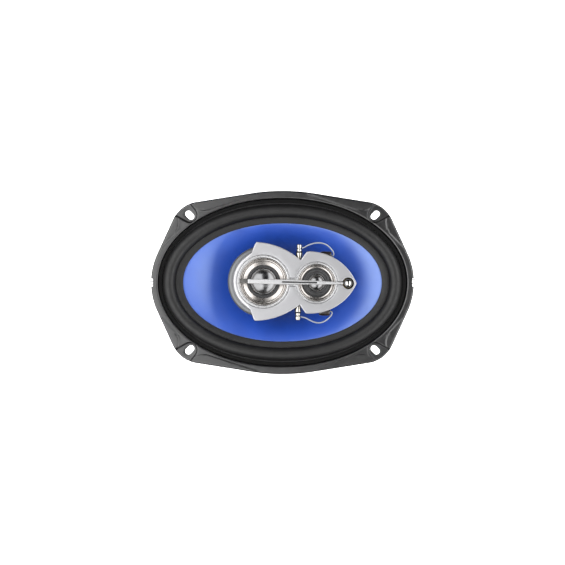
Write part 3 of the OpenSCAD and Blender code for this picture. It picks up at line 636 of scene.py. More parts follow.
def metal(name, low, high, roughness, grain=None, size=0.5, depth=0.01):
    """A plated or turned metal; grain stretches its fine lines."""
    fine = (size, 3, grain)
    return surface(name, (7, 4), low, high, fine, roughness, fine, depth, Metallic=1.0)


def woven_cloth():
    """Resin-dipped cotton: two sets of threads at right angles."""
    p = Paint("woven_cloth", Sheen_Weight=0.3, Sheen_Roughness=0.5)
    warp, weft = p.ridges(0.55, "X", 0.6), p.ridges(0.55, "Y", 0.6)
    threads = p.node("ShaderNodeMath", {0: warp, 1: weft}, operation="MAXIMUM").outputs[0]
    shade = p.sum_of(p.product(threads, 0.6), p.product(p.noise(4, 3), 0.5))
    p.colours(shade, (0.38, 0.23, 0.06), (0.80, 0.60, 0.26), (0.35, 0.95))
    p.rough(p.noise(0.6, 2), 0.62, 0.82)
    p.bump(threads, 0.16)
    return p.material


def boot_rubber():
    p = Paint("boot_rubber", Sheen_Weight=0.1)
    p.colours(p.noise(10, 4), (0.016, 0.016, 0.017), (0.028, 0.028, 0.030))
    p.rough(p.noise(1.4, 3), 0.46, 0.62)
    p.bump(p.cells(0.55), 0.03)
    return p.material


def insulation(name, low, high, roughness=(0.38, 0.52)):
    return surface(name, (3, 3), low, high, (1, 2), roughness, (0.5, 2), 0.02)


def metal_paint(name, low, high, metallic, roughness):
    """Silver paint: small flakes in a satin lacquer."""
    p = Paint(name, Metallic=metallic, Coat_Weight=0.2, Coat_Roughness=0.3)
    flakes = p.node("ShaderNodeSeparateColor", {"Color": p.cells(0.09, "Color")}).outputs[0]
    cloud = p.sum_of(p.product(flakes, 0.35), p.product(p.noise(18, 3), 0.65))
    p.colours(cloud, low, high, (0.2, 0.8))
    p.rough(p.noise(4, 3), *roughness)
    p.bump(p.noise(0.6, 2), 0.002)
    return p.material


def metallised(name, low, high, roughness):
    """Vacuum-metallised plastic."""
    return surface(name, (9, 3), low, high, (3, 3), roughness, (2.2, 2), 0.002, Metallic=1.0)


def moulded_black(name, roughness):
    low, high = (0.012, 0.012, 0.013), (0.024, 0.024, 0.025)
    return surface(name, (5, 3), low, high, (1.2, 3), roughness, (0.4, 2), 0.015)


ENAMEL = surface(
    "enamel", (14, 3), (0.002, 0.002, 0.0022), (0.004, 0.004, 0.0045), (5, 3), (0.28, 0.36), (0.9, 2), 0.03,
    Specular_IOR_Level=0.68, Coat_Weight=0.15, Coat_Roughness=0.3)
GASKET = surface(
    "gasket_board", (0.7, 4), (0.002, 0.002, 0.002), (0.0045, 0.0045, 0.0045), (0.4, 2), (0.6, 0.78),
    (0.35, 4), 0.08, Specular_IOR_Level=0.06)
BUTYL = surface(
    "butyl", (9, 4), (0.0025, 0.0025, 0.0027), (0.0045, 0.0045, 0.0048), (3, 3), (0.42, 0.56), (0.3, 3),
    0.015, Specular_IOR_Level=0.32)
FOIL = surface(
    "foil", (6, 3), (0.62, 0.63, 0.65), (0.78, 0.78, 0.79), (0.6, 2, (1, 1, 14)), (0.22, 0.4), (3, 3), 0.05,
    Metallic=1.0)
FELT = surface(
    "felt", (0.5, 5), (0.010, 0.010, 0.010), (0.045, 0.045, 0.047), (0.4, 3), (0.8, 0.95), (0.25, 6), 0.25,
    Sheen_Weight=0.5, Sheen_Roughness=0.6)
FERRITE = surface(
    "ferrite", (1.2, 6), (0.035, 0.035, 0.038), (0.095, 0.095, 0.10), (0.8, 4), (0.5, 0.72), (0.5, 6), 0.08,
    Specular_IOR_Level=0.5)
# Brown laminate, with the fibres of its paper
BOARD = surface(
    "phenolic", (0.8, 5, (1, 1, 0.2)), (0.14, 0.055, 0.018), (0.30, 0.135, 0.045), (1, 3), (0.38, 0.55),
    (0.5, 4, (1, 1, 0.2)), 0.03, Coat_Weight=0.2, Coat_Roughness=0.25)
BROWN = surface(
    "dipped_brown", (2.4, 3), (0.004, 0.0025, 0.002), (0.011, 0.006, 0.0035), (1.5, 2), (0.25, 0.4),
    (1.2, 3), 0.08, Coat_Weight=0.6, Coat_Roughness=0.12)
BRAID = surface(
    "braid", (0.35, 3), (0.42, 0.17, 0.06), (0.80, 0.44, 0.22), (0.3, 2), (0.3, 0.5), (0.18, 2), 0.08,
    Metallic=1.0)
CONE_BLUE, WINDING, CLOTH, BOOT = polypropylene(), winding(), woven_cloth(), boot_rubber()
BLACK, BUSH = moulded_black("moulded_black", (0.34, 0.48)), moulded_black("bush_black", (0.5, 0.65))
BLACK_WIRE = insulation("black_wire", (0.012, 0.012, 0.013), (0.025, 0.025, 0.026))
GREY_WIRE = insulation("grey_wire", (0.18, 0.19, 0.21), (0.23, 0.245, 0.265), (0.3, 0.42))
COVER = metal_paint("cover_paint", (0.31, 0.31, 0.32), (0.34, 0.34, 0.35), 0.6, (0.31, 0.35))
BAR_SILVER = metal_paint("bar_paint", (0.36, 0.36, 0.365), (0.42, 0.42, 0.425), 0.5, (0.30, 0.36))
# The foot's dark grey is painted shade: it stands for the shadow on the foot, which sits low under the bar.
FOOT_SHADE_GREY = metal_paint("foot_shade_paint", (0.035, 0.033, 0.03), (0.055, 0.052, 0.048), 0.3, (0.4, 0.5))
BODY = metal_paint("body_paint", (0.075, 0.077, 0.08), (0.11, 0.113, 0.118), 0.5, (0.36, 0.46))
BEZEL = metal_paint("bezel_paint", (0.33, 0.33, 0.335), (0.39, 0.39, 0.395), 0.65, (0.24, 0.32))
BOWL = metallised("bowl_metal", (0.34, 0.318, 0.30), (0.41, 0.388, 0.37), (0.25, 0.31))
DOME = metallised("dome_metal", (0.12, 0.12, 0.122), (0.165, 0.165, 0.168), (0.18, 0.26))
CHROME = metallised("chrome", (0.30, 0.295, 0.29), (0.36, 0.355, 0.35), (0.07, 0.12))
BRASS = metal("brass", (0.55, 0.38, 0.13), (0.72, 0.53, 0.22), (0.24, 0.4), size=0.6)
TIN = metal("tin", (0.52, 0.51, 0.48), (0.66, 0.65, 0.62), (0.28, 0.44), size=0.8)
ZINC = metal("zinc", (0.56, 0.52, 0.40), (0.70, 0.66, 0.54), (0.3, 0.46), (1, 1, 12), 0.5, 0.02)
RIVET = metal("rivet_steel", (0.48, 0.48, 0.48), (0.62, 0.62, 0.62), (0.26, 0.4))
SMALL_STEEL = metal("small_steel", (0.5, 0.49, 0.45), (0.62, 0.61, 0.57), (0.25, 0.38))
NEODYMIUM = metal("neodymium", (0.42, 0.42, 0.43), (0.52, 0.52, 0.53), (0.16, 0.28))
ALUMINIUM = metal("aluminium", (0.55, 0.56, 0.57), (0.66, 0.67, 0.68), (0.26, 0.4), (1, 1, 20), 0.4)
NICKEL = metal("nickel", (0.34, 0.325, 0.29), (0.43, 0.415, 0.375), (0.12, 0.22), size=0.9)
PIEZO = metal("piezo_disc", (0.5, 0.36, 0.14), (0.68, 0.5, 0.22), (0.3, 0.45))

# ---- Flange of the basket ----

FLANGE_COLUMNS = 900


def flange_polar(inset):
    """The flange's outline moved inward, as angle and radius."""
    points = [oval_at(FLANGE - inset, angles(1600))]
    points += [circle(EAR * corner, EAR_R - inset, 800) for corner in CORNERS]
    points = np.vstack(points)
    hull = subdivided(points[convex_hull_2d([Vector(p) for p in points])], 0.5)
    angle = np.arctan2(hull[:, 1], hull[:, 0])
    order = np.argsort(angle)
    return angle[order], np.linalg.norm(hull[order], axis=1)


def even_columns():
    """Angles at which the outline's points are evenly spaced."""
    t = np.linspace(-math.pi, math.pi, 7201)
    radius = np.interp(t, *flange_polar(0), period=2 * math.pi)
    length = run_length(np.stack([radius * np.cos(t), radius * np.sin(t)], axis=-1))
    return np.interp(np.arange(FLANGE_COLUMNS) * length[-1] / FLANGE_COLUMNS, length, t)


COLUMN_ANGLES = even_columns()


def flange_loop(inset):
    radius = np.interp(COLUMN_ANGLES, *flange_polar(inset), period=2 * math.pi)
    return np.stack([radius * np.cos(COLUMN_ANGLES), radius * np.sin(COLUMN_ANGLES)], axis=-1)


def step_loop(grow):
    """The oval of the step, moved outward; inward it runs to the landing's edge."""
    axes = STEP + grow
    if grow < 0:
        axes = STEP + (LANDING - STEP) * grow / (LANDING - STEP)[0]
    return oval_at(axes, angles(640))


# Raised stretches of the ear at +X +Y, each bounded by two lines and a rounded corner between
# them. A line is a point on it and the angle that its outward normal makes with X.
LANDS = (
    (((100.7, 40.5), 44), ((93.4, 54.0), -6), 5.0),
    (((77.5, 66.1), 113), ((64.0, 66.7), 72), 4.0),
)
LAND_H = 0.6
# The recess of each slot opens toward the ear's corner: its direction, reach and outer radius
RECESS = (41, 14.0, 9.5)


def land_depth(points, land):
    """How far points lie inside a land's boundary; negative outside."""
    first, second, radius = land
    depths = []
    for place, angle in (first, second):
        normal = (math.cos(math.radians(angle)), math.sin(math.radians(angle)))
        depths.append((points - place) @ normal)
    short = radius - np.stack(depths, axis=-1)
    return radius - np.minimum(short.max(axis=-1), 0) - np.linalg.norm(np.maximum(short, 0), axis=-1)


def recess_depth(points):
    """How far points lie inside the recess round the slot; negative outside."""
    angle, reach, far_r = RECESS
    along = np.array([math.cos(math.radians(angle)), math.sin(math.radians(angle))])
    p = points - SLOT
    y = p @ along
    x = np.abs(p @ (-along[1], along[0]))
    lean = (PAD_R - far_r) / reach
    rise = math.sqrt(1 - lean * lean)
    k = y * rise - x * lean
    side = PAD_R - x * rise - y * lean
    near = PAD_R - np.hypot(x, y)
    far = far_r - np.hypot(x, y - reach)
    return np.where(k < 0, near, np.where(k > rise * reach, far, side))


def deck_height(points):
    """Height of the deck: level, with raised lands and a recess round the slot at each ear."""
    z = np.full(len(points), DECK_Z)
    quarter = np.abs(points)
    for land in LANDS:
        z += LAND_H * smoothstep(-0.4, 0.5, land_depth(quarter, land))
    sink = smoothstep(-1.0, 0.8, recess_depth(quarter))
    return z * (1 - sink) + (DECK_Z - PAD_DEPTH) * sink


def slot_loop(sx, sy):
    r = SLOT_SIZE[1] / 2
    half = SLOT_SIZE[0] / 2 - r
    loop = np.vstack([arc((half, 0), r, -90, 90, 20), arc((-half, 0), r, 90, 270, 20)])
    a = math.radians(45 * sx * sy)
    turn = np.array([[math.cos(a), -math.sin(a)], [math.sin(a), math.cos(a)]])
    return loop @ turn.T + SLOT * (sx, sy)


def flange_walls(outline):
    """The rounded hem outside the deck, and the step and landing inside it."""
    lift = deck_height(outline) - DECK_Z
    hem, inner = [], []
    for a in np.radians((18, 36, 54, 72, 90)):
        inward, drop = 1 - math.sin(a), 1 - math.cos(a)
        height = DECK_Z - HEM_R * drop
        hem.append(at_height(flange_loop(HEM_R * inward), height + lift * height / DECK_Z))
        inner.append(at_height(step_loop(STEP_R * inward), DECK_Z - STEP_R * drop))
    under = ((0, 0.35), (0.1, 0.1), (0.35, 0), (0.9, 0), (1.12, 0.12), (1.2, 0.35), (1.2, 1.3), (1.3, 1.65))
    hem += [at_height(flange_loop(inset), z) for inset, z in under]
    foot = (
        (0, 0.3), (-0.12, -0.1), (-0.5, LANDING_Z), (-6.8, LANDING_Z), (-7, LANDING_Z - 0.2),
        (-7, LANDING_Z - 1), (-6.8, LANDING_Z - SHEET), (0.3, LANDING_Z - SHEET),
        (0.95, LANDING_Z - 0.9), (1.2, LANDING_Z - 0.3), (1.2, 1.2), (1.27, 1.65),
    )
    inner += [at_height(step_loop(grow), z) for grow, z in foot]
    return [hem, inner]


def flange_detail(loops):
    """Extra points where the deck bends: round the recesses, the lands and the slots."""
    fine = hex_grid((25, 30), (115, 84), 0.42)
    bends = np.abs(recess_depth(fine)) < 1.5
    for land in LANDS:
        bends |= np.abs(land_depth(fine, land)) < 0.9
    ears = [fine[bends] * corner for corner in CORNERS]
    detail = plate_points(loops, np.vstack(ears), 0.35)
    rims = [offset_points(loops[0], (0.5, 1.1)), offset_points(loops[1], (0.5, 1.1), True)]
    rims += [offset_points(loop, (0.16, 0.34), True) for loop in loops[2:]]
    fill = plate_points(loops, hex_grid((-120, -84), (120, 84), 2.4), 1.6)
    quarter = np.abs(fill)
    clear = np.abs(recess_depth(quarter)) > 2
    for land in LANDS:
        clear &= np.abs(land_depth(quarter, land)) > 1.4
    return np.vstack([detail, *rims, fill[clear]])


def side_box(name, ends, y, width, heights, bevel=0.2):
    """A box between two places along X, which may come in either order."""
    lo = (min(ends), y - width / 2, heights[0])
    hi = (max(ends), y + width / 2, heights[1])
    return box_object(name, lo, hi, bevel)


def make_flange():
    slots = [slot_loop(*corner) for corner in CORNERS]
    outline = flange_loop(HEM_R)
    loops = [outline, step_loop(STEP_R), *slots]

    def top(points):
        near = np.min([distance(points, slot) for slot in slots], axis=0)
        return deck_height(points) - edge_drop(near, 0.34)

    walls = [*flange_walls(outline), *[[] for _ in slots]]
    flange = relief(
        "flange", loops, flange_detail(loops), top, lambda points: deck_height(points) - SHEET, walls)
    depth, width = NOTCH
    end, back = FLANGE[0], FLANGE[0] - depth
    cutters = [side_box("notch", (s * end - depth, s * end + depth), 0, width, (-1, 9), 0.7) for s in (-1, 1)]
    combine(flange, cutters, "DIFFERENCE")
    wall_w, wall_zs = width + 2 * SHEET, (0, DECK_Z - 0.3)
    walls = [side_box("wall", (s * back, s * (back - SHEET)), 0, wall_w, wall_zs) for s in (-1, 1)]
    combine(flange, walls, "UNION")
    lo, hi = node_box("basket")
    tongues = []
    for s, tip, places in ((1, hi[0], TONGUES_RIGHT), (-1, lo[0], TONGUES_LEFT)):
        for y in places:
            tongues.append(side_box("tongue", (s * (back - 0.6), tip), y, TONGUE_W, (0.6, 1.8)))
    return joined("basket_flange", [flange, *tongues])


# ---- Bowl of the basket ----


def wall_y(z):
    return 58.9 + (z + 37) * math.tan(WALL_LEAN)


# Semi-axis along X, semi-axis along Y, height and fullness, from the landing to the bottom
BOWL_ROWS = (
    (107.4, 70.2, -1, 2.04), (106.4, 69, -5.5, 2.04), (103.5, wall_y(-9.5), -9.5, 2.04),
    (93, wall_y(-16), -16, 2.04), (80, wall_y(-24), -24, 2.04), (68, wall_y(-32), -32, 2),
    (60.5, wall_y(-37), -37, 2), (57.8, 57.8, -39.2, 2), (46.7, 46.7, -39.2, 2),
    (46.7, 46.7, -52, 2), (24, 24, -52, 2),
)
BOWL_SOFT = (0, 1.6, 2.5, 3, 3, 3, 2.5, 2, 2.2, 2.2, 0)
# The rows at a window's top and bottom, and how far inside them it ends
WINDOW_ROWS = ((2, 0.6), (6, -0.6))
# A middle radius of the bowl, which turns angles into lengths where its sheet is laid flat
BOWL_R = 80.0


PROFILE = soften(BOWL_ROWS, BOWL_SOFT, 5, closed=False)
PROFILE_LENGTH = run_length(PROFILE[:, [0, 2]])


def bowl_point(flat):
    """Where points of the bowl's flat layout (angle times BOWL_R, length down the wall) lie."""
    a, b, z, fullness = (np.interp(flat[:, 1], PROFILE_LENGTH, PROFILE[:, k]) for k in range(4))
    return np.column_stack([oval_at((a, b), flat[:, 0] / BOWL_R, fullness), z])


def bowl_normal(flat):
    e = 0.6
    turn, down = flat.T
    low, high = (np.clip(down + step, 0, PROFILE_LENGTH[-1]) for step in (-e, e))
    along = bowl_point(np.column_stack([turn, high])) - bowl_point(np.column_stack([turn, low]))
    across = bowl_point(flat + (e, 0)) - bowl_point(flat - (e, 0))
    normal = np.cross(along, across)
    normal /= np.linalg.norm(normal, axis=1)[:, None]
    normal[np.sum(normal * bowl_point(flat) * (1, 1, 0), axis=1) < 0] *= -1
    return normal


def make_bowl():
    """The bowl, one spoke-to-spoke sector after another; each has one window."""
    wide = (PROFILE[:, 0] < 50) * 99
    top, low = (
        PROFILE_LENGTH[np.argmin(np.abs(PROFILE[:, 2] - BOWL_ROWS[k][2]) + wide)] + inward
        for k, inward in WINDOW_ROWS
    )
    sector = 2 * math.pi / SPOKES * BOWL_R
    board_spoke = SPOKES * 3 // 4
    columns = 32
    vs = np.unique(np.concatenate([PROFILE_LENGTH, np.arange(0, PROFILE_LENGTH[-1], 2.5)]))
    points, faces = [], []
    used = 0
    for k in range(SPOKES):
        start, end = k * sector, (k + 1) * sector
        left, right = start + sector * SPOKE_SHARE / 2, end - sector * SPOKE_SHARE / 2
        corners = [(left, top), (right, top), (right, low), (left, low)]
        window = subdivided(soften(corners, [6.5] * 4, 8), 1.5)
        us = np.linspace(start, end, columns + 1)
        upper, lower = ([(u, v) for u in us] for v in (0, PROFILE_LENGTH[-1]))
        first, last = ([(u, v) for v in vs] for u in (start, end))
        outline = np.array([*upper[:-1], *last[:-1], *lower[:0:-1], *first[:0:-1]])
        beside = [*(start + SPOKE_LINES), *(end - SPOKE_LINES)]
        grid = np.array([(u, v) for u in [*us[1:-1], *beside] for v in vs[1:-1]])
        grid = grid[~inside(grid, window) & (distance(grid, window) > 0.9)]
        extra = np.vstack([grid, offset_points(window, (0.45,), True)])
        found, triangles, (edge, rim) = triangulated([outline, window], extra)
        # A rib pressed outward along each spoke but the one that carries the terminal board
        to_spoke = np.minimum(found[:, 0] - start, end - found[:, 0])
        spoke = np.where(found[:, 0] - start < sector / 2, k, (k + 1) % SPOKES)
        reach = smoothstep(top - 2, top + 6, found[:, 1]) * (1 - smoothstep(low - 6, low + 1, found[:, 1]))
        rib = RIB_H * reach * (1 - smoothstep(0.2, 1, to_spoke / RIB_HALF)) * (spoke != board_spoke)
        normal = bowl_normal(found)
        outer = bowl_point(found) + normal * rib[:, None]
        points += [outer, outer - normal * SHEET]
        count = len(found)
        faces += [*(triangles + used), *(triangles[:, ::-1] + used + count)]
        turn = columns + len(vs) - 1
        for line in ([*rim, rim[0]], edge[:columns + 1], edge[turn:turn + columns + 1]):
            line = used + np.array(line)
            faces += [(a, b, count + b, count + a) for a, b in zip(line, line[1:])]
        used += 2 * count
    return mesh_object("basket_bowl", np.vstack(points), faces, 40)


# ---- Surround, gasket and cone ----


def rolled(low, high, radius=0.35):
    """A flat oval ring's section with rounded edges, from (semi-axes, z) corners."""
    (a0, b0, z0), (a1, b1, z1) = low, high
    return soften([(a0, b0, z0), (a1, b1, z0), (a1, b1, z1), (a0, b0, z1)], [radius] * 4, 4)


def make_gasket():
    outer = GASKET_HI[:2]
    inner = outer - (GASKET_W, GASKET_W - 0.2)
    return oval_band("front_gasket", rolled((*inner, GASKET_LO[2]), (*outer, GASKET_HI[2])), 480)


def roll_width(points):
    """How far out each point lies on the roll: 0 at its inner foot and 1 at its outer foot."""
    low, high = np.full(len(points), -0.8), np.full(len(points), 1.6)
    for _ in range(30):
        middle = (low + high) / 2
        axes = ROLL_IN + (ROLL_OUT - ROLL_IN) * middle[:, None]
        outside = np.sum(np.abs(points[:, :2] / axes) ** FULLNESS, axis=1) > 1
        low, high = np.where(outside, middle, low), np.where(outside, high, middle)
    return np.clip((low + high) / 2, 0, 1)


def make_surround():
    top = LANDING_Z + LIP_T
    middle, half = (ROLL_OUT + ROLL_IN) / 2, (ROLL_OUT - ROLL_IN) / 2
    height = ROLL_TOP - top
    turn = np.radians(np.arange(0, 181, 7.5))
    outer, inner = [], []
    for c, s in zip(np.cos(turn), np.sin(turn)):
        # the roll leaves its feet in a small fillet
        fillet = math.copysign(0.042 * c ** 8, c)
        outer.append((*(middle + half * (c + fillet)), top + height * s))
    k = 1 - LIP_T / half[0]
    for c, s in zip(np.cos(turn[::-1]), np.sin(turn[::-1])):
        inner.append((*(middle + half * k * c), LANDING_Z + (height - 0.1) * k * s))
    profile = [
        (*LIP, LANDING_Z), (*LIP, top - 0.2), (*(LIP - 0.2), top), *outer, (*(CONE + 0.4), top),
        (*(CONE + 0.05), top - 0.25), (*CONE, LANDING_Z), *inner,
    ]
    return oval_band("surround", profile, 600, 50)


def make_cone():
    """A cone that turns from the oval edge to the round neck, with a flat flange outside."""
    t = angles(600)
    rim = LANDING_Z - 0.05
    steps = np.linspace(1, 0, 44)

    def ring(axes, z, fullness=2.0):
        return at_height(oval_at(axes, t, fullness), z)

    def wall(s, lower):
        sink = CONE_DEPTH * (STRAIGHT * (1 - s) + (1 - STRAIGHT) * (1 - s) ** 2)
        return ring(NECK_R + (CONE - NECK_R) * s, rim - sink - lower, 2 + (FULLNESS - 2) * s)

    neck, wide = (NECK_R, NECK_R), (NECK_R + CONE_T, NECK_R + CONE_T)
    rings = [
        ring(CONE_EDGE, rim, FULLNESS), ring((CONE_EDGE + CONE) / 2, rim, FULLNESS),
        *[wall(s, 0) for s in steps], ring(neck, CONE_LOW), ring(wide, CONE_LOW),
        ring(wide, rim - CONE_DEPTH - CONE_T - 0.6), *[wall(s, CONE_T) for s in steps[-2::-1]],
        ring(CONE_EDGE, rim - CONE_T, FULLNESS),
    ]
    return band("cone", rings, 50)


def make_spider():
    """Corrugated cloth, with a collar glued to the former."""
    start, end = NECK_R + 0.1, 55.0
    first, last, waves, height, thick = start + 3, SHELF[0] - 0.5, 6, 1.4, 0.6
    radii = np.concatenate([[start, start + 0.9], np.linspace(first, last, waves * 16 + 1), [50, end]])

    def z(r):
        if not first < r < last:
            return SHELF_Z
        return SHELF_Z + height * math.sin(2 * math.pi * waves * (r - first) / (last - first))

    upper = [(r, z(r) + thick) for r in radii[::-1]]
    lower = [(r, z(r)) for r in radii]
    collar = [(start, SHELF_Z + thick + 0.9), (start - 0.05, SHELF_Z + thick)]
    return lathe("spider", [*upper, *collar, *lower], 240, sharp=70)


# ---- Magnet boot ----


def make_boot():
    """Rubber boot: rounded edges, two grooves, a ring and flutes on its back edge."""
    out, low, high = BOOT_HI[0], BOOT_LO[2], BOOT_HI[2]
    wall, hole = 1.6, 14.0
    corners = [
        (hole, low + wall), (hole, low), (30, low), (30.4, low + 0.5), (32.6, low + 0.5), (33, low),
        (out, low), (out, low + 7), (out - 0.6, low + 7.4), (out - 0.6, low + 9), (out, low + 9.4),
        (out, high - 5.6), (out - 0.5, high - 5.2), (out - 0.5, high - 3.8), (out, high - 3.4), (out, high),
        (out - wall, high), (out - wall, low + wall),
    ]
    radii = [0.2, 0.4, 0.2, 0.2, 0.2, 0.2, 2.4, *[0.25] * 8, 0.7, 0.4, 0]
    points, faces = lathe_mesh(soften(corners, radii, 4), 480)
    radius = np.linalg.norm(points[:, :2], axis=1)
    turn = np.arctan2(points[:, 1], points[:, 0])
    flute = smoothstep(0.55, 0.95, np.cos(turn * 36)) * (radius > out - 1.2)
    zone = smoothstep(out - 4, out - 2.5, radius) * (1 - smoothstep(low + 4.6, low + 5.8, points[:, 2]))
    points[:, :2] *= (1 - 0.6 * flute * zone / np.maximum(radius, 1))[:, None]
    return mesh_object("magnet_boot", points, faces, 40)


# ---- Bridge ----


def cover_loop():
    half = np.array([
        *arc((MID_X, 0), 27.6, 180, 114, 40), (-25.2, 33.4), (-24.3, 34.6),
        *arc((-25.8, -28.3), 63.5, 88.5, 50.6, 48), (15.1, 20.0), (15.9, 20.1), (20.8, 27.1), (21.7, 27.7),
        *arc((24, -18), 45.8, 91.5, 24.5, 56), (66.0, 0.0),
    ])
    mirror = half[-2:0:-1] * (1, -1)
    return subdivided(np.vstack([half, mirror])[::-1], 0.9)


def make_cover():
    outline, opening = cover_loop(), opening_loop()
    loops = [outline, opening]

    def top(points):
        # The rim is broad and round on the arc behind the midrange, and tight elsewhere
        away = points - (MID_X, 0)
        turn = np.degrees(np.abs(np.arctan2(away[:, 1], away[:, 0])))
        radius = 0.8 + 1.9 * smoothstep(112, 128, turn) * (np.linalg.norm(away, axis=1) < 29)
        drop = edge_drop(distance(points, outline), radius)
        return FACE_Z - np.maximum(drop, edge_drop(distance(points, opening), 0.55))

    rims = np.vstack([
        offset_points(outline, (0.03, 0.1, 0.22, 0.38, 0.58, 0.82, 1.15, 1.6, 2.15, 2.75)),
        offset_points(opening, (0.05, 0.14, 0.28, 0.42, 0.56), True),
    ])
    fill = plate_points(loops, hex_grid((-50, -36), (68, 36), 2.0), 2.9)
    return relief(
        "bridge_cover", loops, np.vstack([plate_points(loops, rims, 0.02), fill]), top,
        lambda points: np.full(len(points), COVER_BOTTOM), bridge=True, sharp=45)


def opening_loop():
    """The opening for the bezel and drivers: two circles, a hole for the ball, and strips."""
    half, nose = STRIP_HALF + 0.2, NOSE_STRIP_HALF + 0.2
    a, b, c, d = (math.degrees(math.asin(y / r)) for y, r in (
        (half, OPEN_MID_R), (half, OPEN_TW_R), (nose, OPEN_TW_R), (nose, OPEN_SUPER_R)))
    loop = np.vstack([
        arc((MID_X, 0), OPEN_MID_R, a, 360 - a, 150),
        arc((TWEETER_X, 0), OPEN_TW_R, 180 + b, 360 - c, 60),
        arc((SUPER_X, 0), OPEN_SUPER_R, 180 + d, 540 - d, 48),
        arc((TWEETER_X, 0), OPEN_TW_R, c, 180 - b, 60),
    ])
    return subdivided(loop, 0.9)


def make_bezel():
    """The two bright rings, and the strips that join them and reach the ball."""
    rings = []
    for x, inner, outer in (
        (MID_X, RING_MID_R, OPEN_MID_R - 0.2), (TWEETER_X, RING_TW_R, OPEN_TW_R - 0.2),
    ):
        corners = [(inner, LEDGE_Z), (outer, LEDGE_Z), (outer, BEZEL_TOP), (inner, BEZEL_TOP)]
        rings.append(lathe("bezel_rings", soften(corners, [0.15, 0.15, 0.5, 0.9], 5), 240, (x, 0), True))
    strips = []
    for x0, x1, half, bevel in (
        (MID_X + RING_MID_R + 0.4, TWEETER_X - RING_TW_R - 0.4, STRIP_HALF, 0.45),
        (TWEETER_X + RING_TW_R + 0.4, SUPER_X - OPEN_SUPER_R + 0.4, NOSE_STRIP_HALF, 0.35),
    ):
        strips.append(box_object("strip", (x0, -half, COVER_BOTTOM), (x1, half, BEZEL_TOP), bevel, True))
    return combine(rings[0], [rings[1], *strips], "UNION")


def make_bar():
    half = np.array([(x, w / 2) for x, w in BAR])
    corners = np.vstack([half[:1] * (1, -1), half[1:] * (1, -1), half[::-1]])
    outline = subdivided(soften(corners, [0.9, 4, 4, 0, 1, 1, 0, 4, 4, 0.9], 5), 0.8)
    x0, x1, w = SLIT
    slit = subdivided(soften([(x0, -w / 2), (x1, -w / 2), (x1, w / 2), (x0, w / 2)], [0.5] * 4, 4), 0.8)
    loops = [outline, slit]

    def top(points):
        drop = np.maximum(edge_drop(distance(points, outline), 0.7), edge_drop(distance(points, slit), 0.25))
        return BAR_Z[1] - drop

    rims = np.vstack([
        offset_points(outline, (0.03, 0.1, 0.22, 0.38, 0.56, 0.72)), offset_points(slit, (0.08, 0.2), True),
    ])
    fill = hex_grid((-31, -2.3), (54, 2.3), 1.1)
    extra = np.vstack([plate_points(loops, rims, 0.02), plate_points(loops, fill, 0.85)])
    return relief(
        "bezel_bar", loops, extra, top, lambda p: np.full(len(p), BAR_Z[0]), bridge=True, sharp=45)


def make_slit_shade_strip():
    """The black strip at the bottom of the bar's slit; its black is painted shade that keeps the slit dark.
    """
    x0, x1, w = SLIT
    lo, hi = (x0 - 0.2, -w / 2 - 0.2, BAR_Z[0] + 0.2), (x1 + 0.2, w / 2 + 0.2, BAR_Z[1] - 0.9)
    return box_object("slit_shade_strip", lo, hi, 0.1, True)


def make_foot():
    """The bar's left end comes down and runs out through the rim of the midrange's horn."""
    half, end = FOOT_W / 2, FOOT_X[1]
    foot = box_object("bar_foot", (FOOT_X[0], -half, FOOT_Z[0]), (end, half, FOOT_Z[1]), 0.35, True)
    riser = box_object(
        "riser", (BAR[0][0], -half, FOOT_Z[0] + 0.1), (end, half, BAR_Z[0] + 0.5), 0.3, True)
    return combine(foot, [riser], "UNION")


def make_body():
    """The housing: a drum, a can and a nose joined by webs, with the drivers' pockets cut in."""
    low, high = BODY_BOTTOM, COVER_BOTTOM

    def can(name, r, x, soft_top, soft_low):
        profile = soften([(0, low), (r, low), (r, high), (0, high)], [0, soft_low, soft_top, 0], 8)
        return lathe(name, profile, 240, (x, 0), True)

    def web(x0, x1, half, lift, gap, bevel):
        return box_object("web", (x0, -half, low + lift), (x1, half, high - gap), bevel, True)

    def pocket(x, r, floor, ledge):
        corners = [(0, floor), (r, floor), (r, LEDGE_Z), (ledge, LEDGE_Z), (ledge, 40), (0, 40)]
        return lathe("pocket", corners, 200, (x, 0), True)

    drum = can("bridge_body", DRUM_R, MID_X, 4.0, 2.5)
    combine(drum, [
        can("can", POCKET_TW_R + 4, TWEETER_X, 1.5, 2.0),
        can("nose", NOSE_R, SUPER_X, 1.0, 2.0),
        web(MID_X, TWEETER_X, 9, 0.05, 0.01, 0.8),
        web(TWEETER_X, SUPER_X, NOSE_R - 1, 0.1, 0.02, 0.8),
        web(LEAD_X - 4, LEAD_X + 4, 16, 0.15, 0.03, 1.0),
        lathe("boss", soften([(0, -10), (11, -10), (15, low + 1), (0, low + 1)], [0, 1.0, 0, 0], 5)),
    ], "UNION")
    cutters = [
        pocket(MID_X, POCKET_MID_R, MID_FLOOR, OPEN_MID_R + 0.1),
        pocket(TWEETER_X, POCKET_TW_R, TW_FLOOR, OPEN_TW_R + 0.1),
        pocket(SUPER_X, NOSE_R - 0.9, LEDGE_Z - 6.4, NOSE_R - 0.9),
        lathe("socket", [(0, -20), (8.05, -20), (8.05, 2), (0, 2)], 120),
    ]
    head, seat, hole = 2.5, low + 2.5, 1.25
    for place in SCREWS:
        corners = [(0, -20), (head, -20), (head, seat), (hole, seat), (hole, 30), (0, 30)]
        cutters.append(lathe("screw_hole", corners, 40, place, True))
    return combine(drum, cutters, "DIFFERENCE", 30)


# ---- Small drivers ----


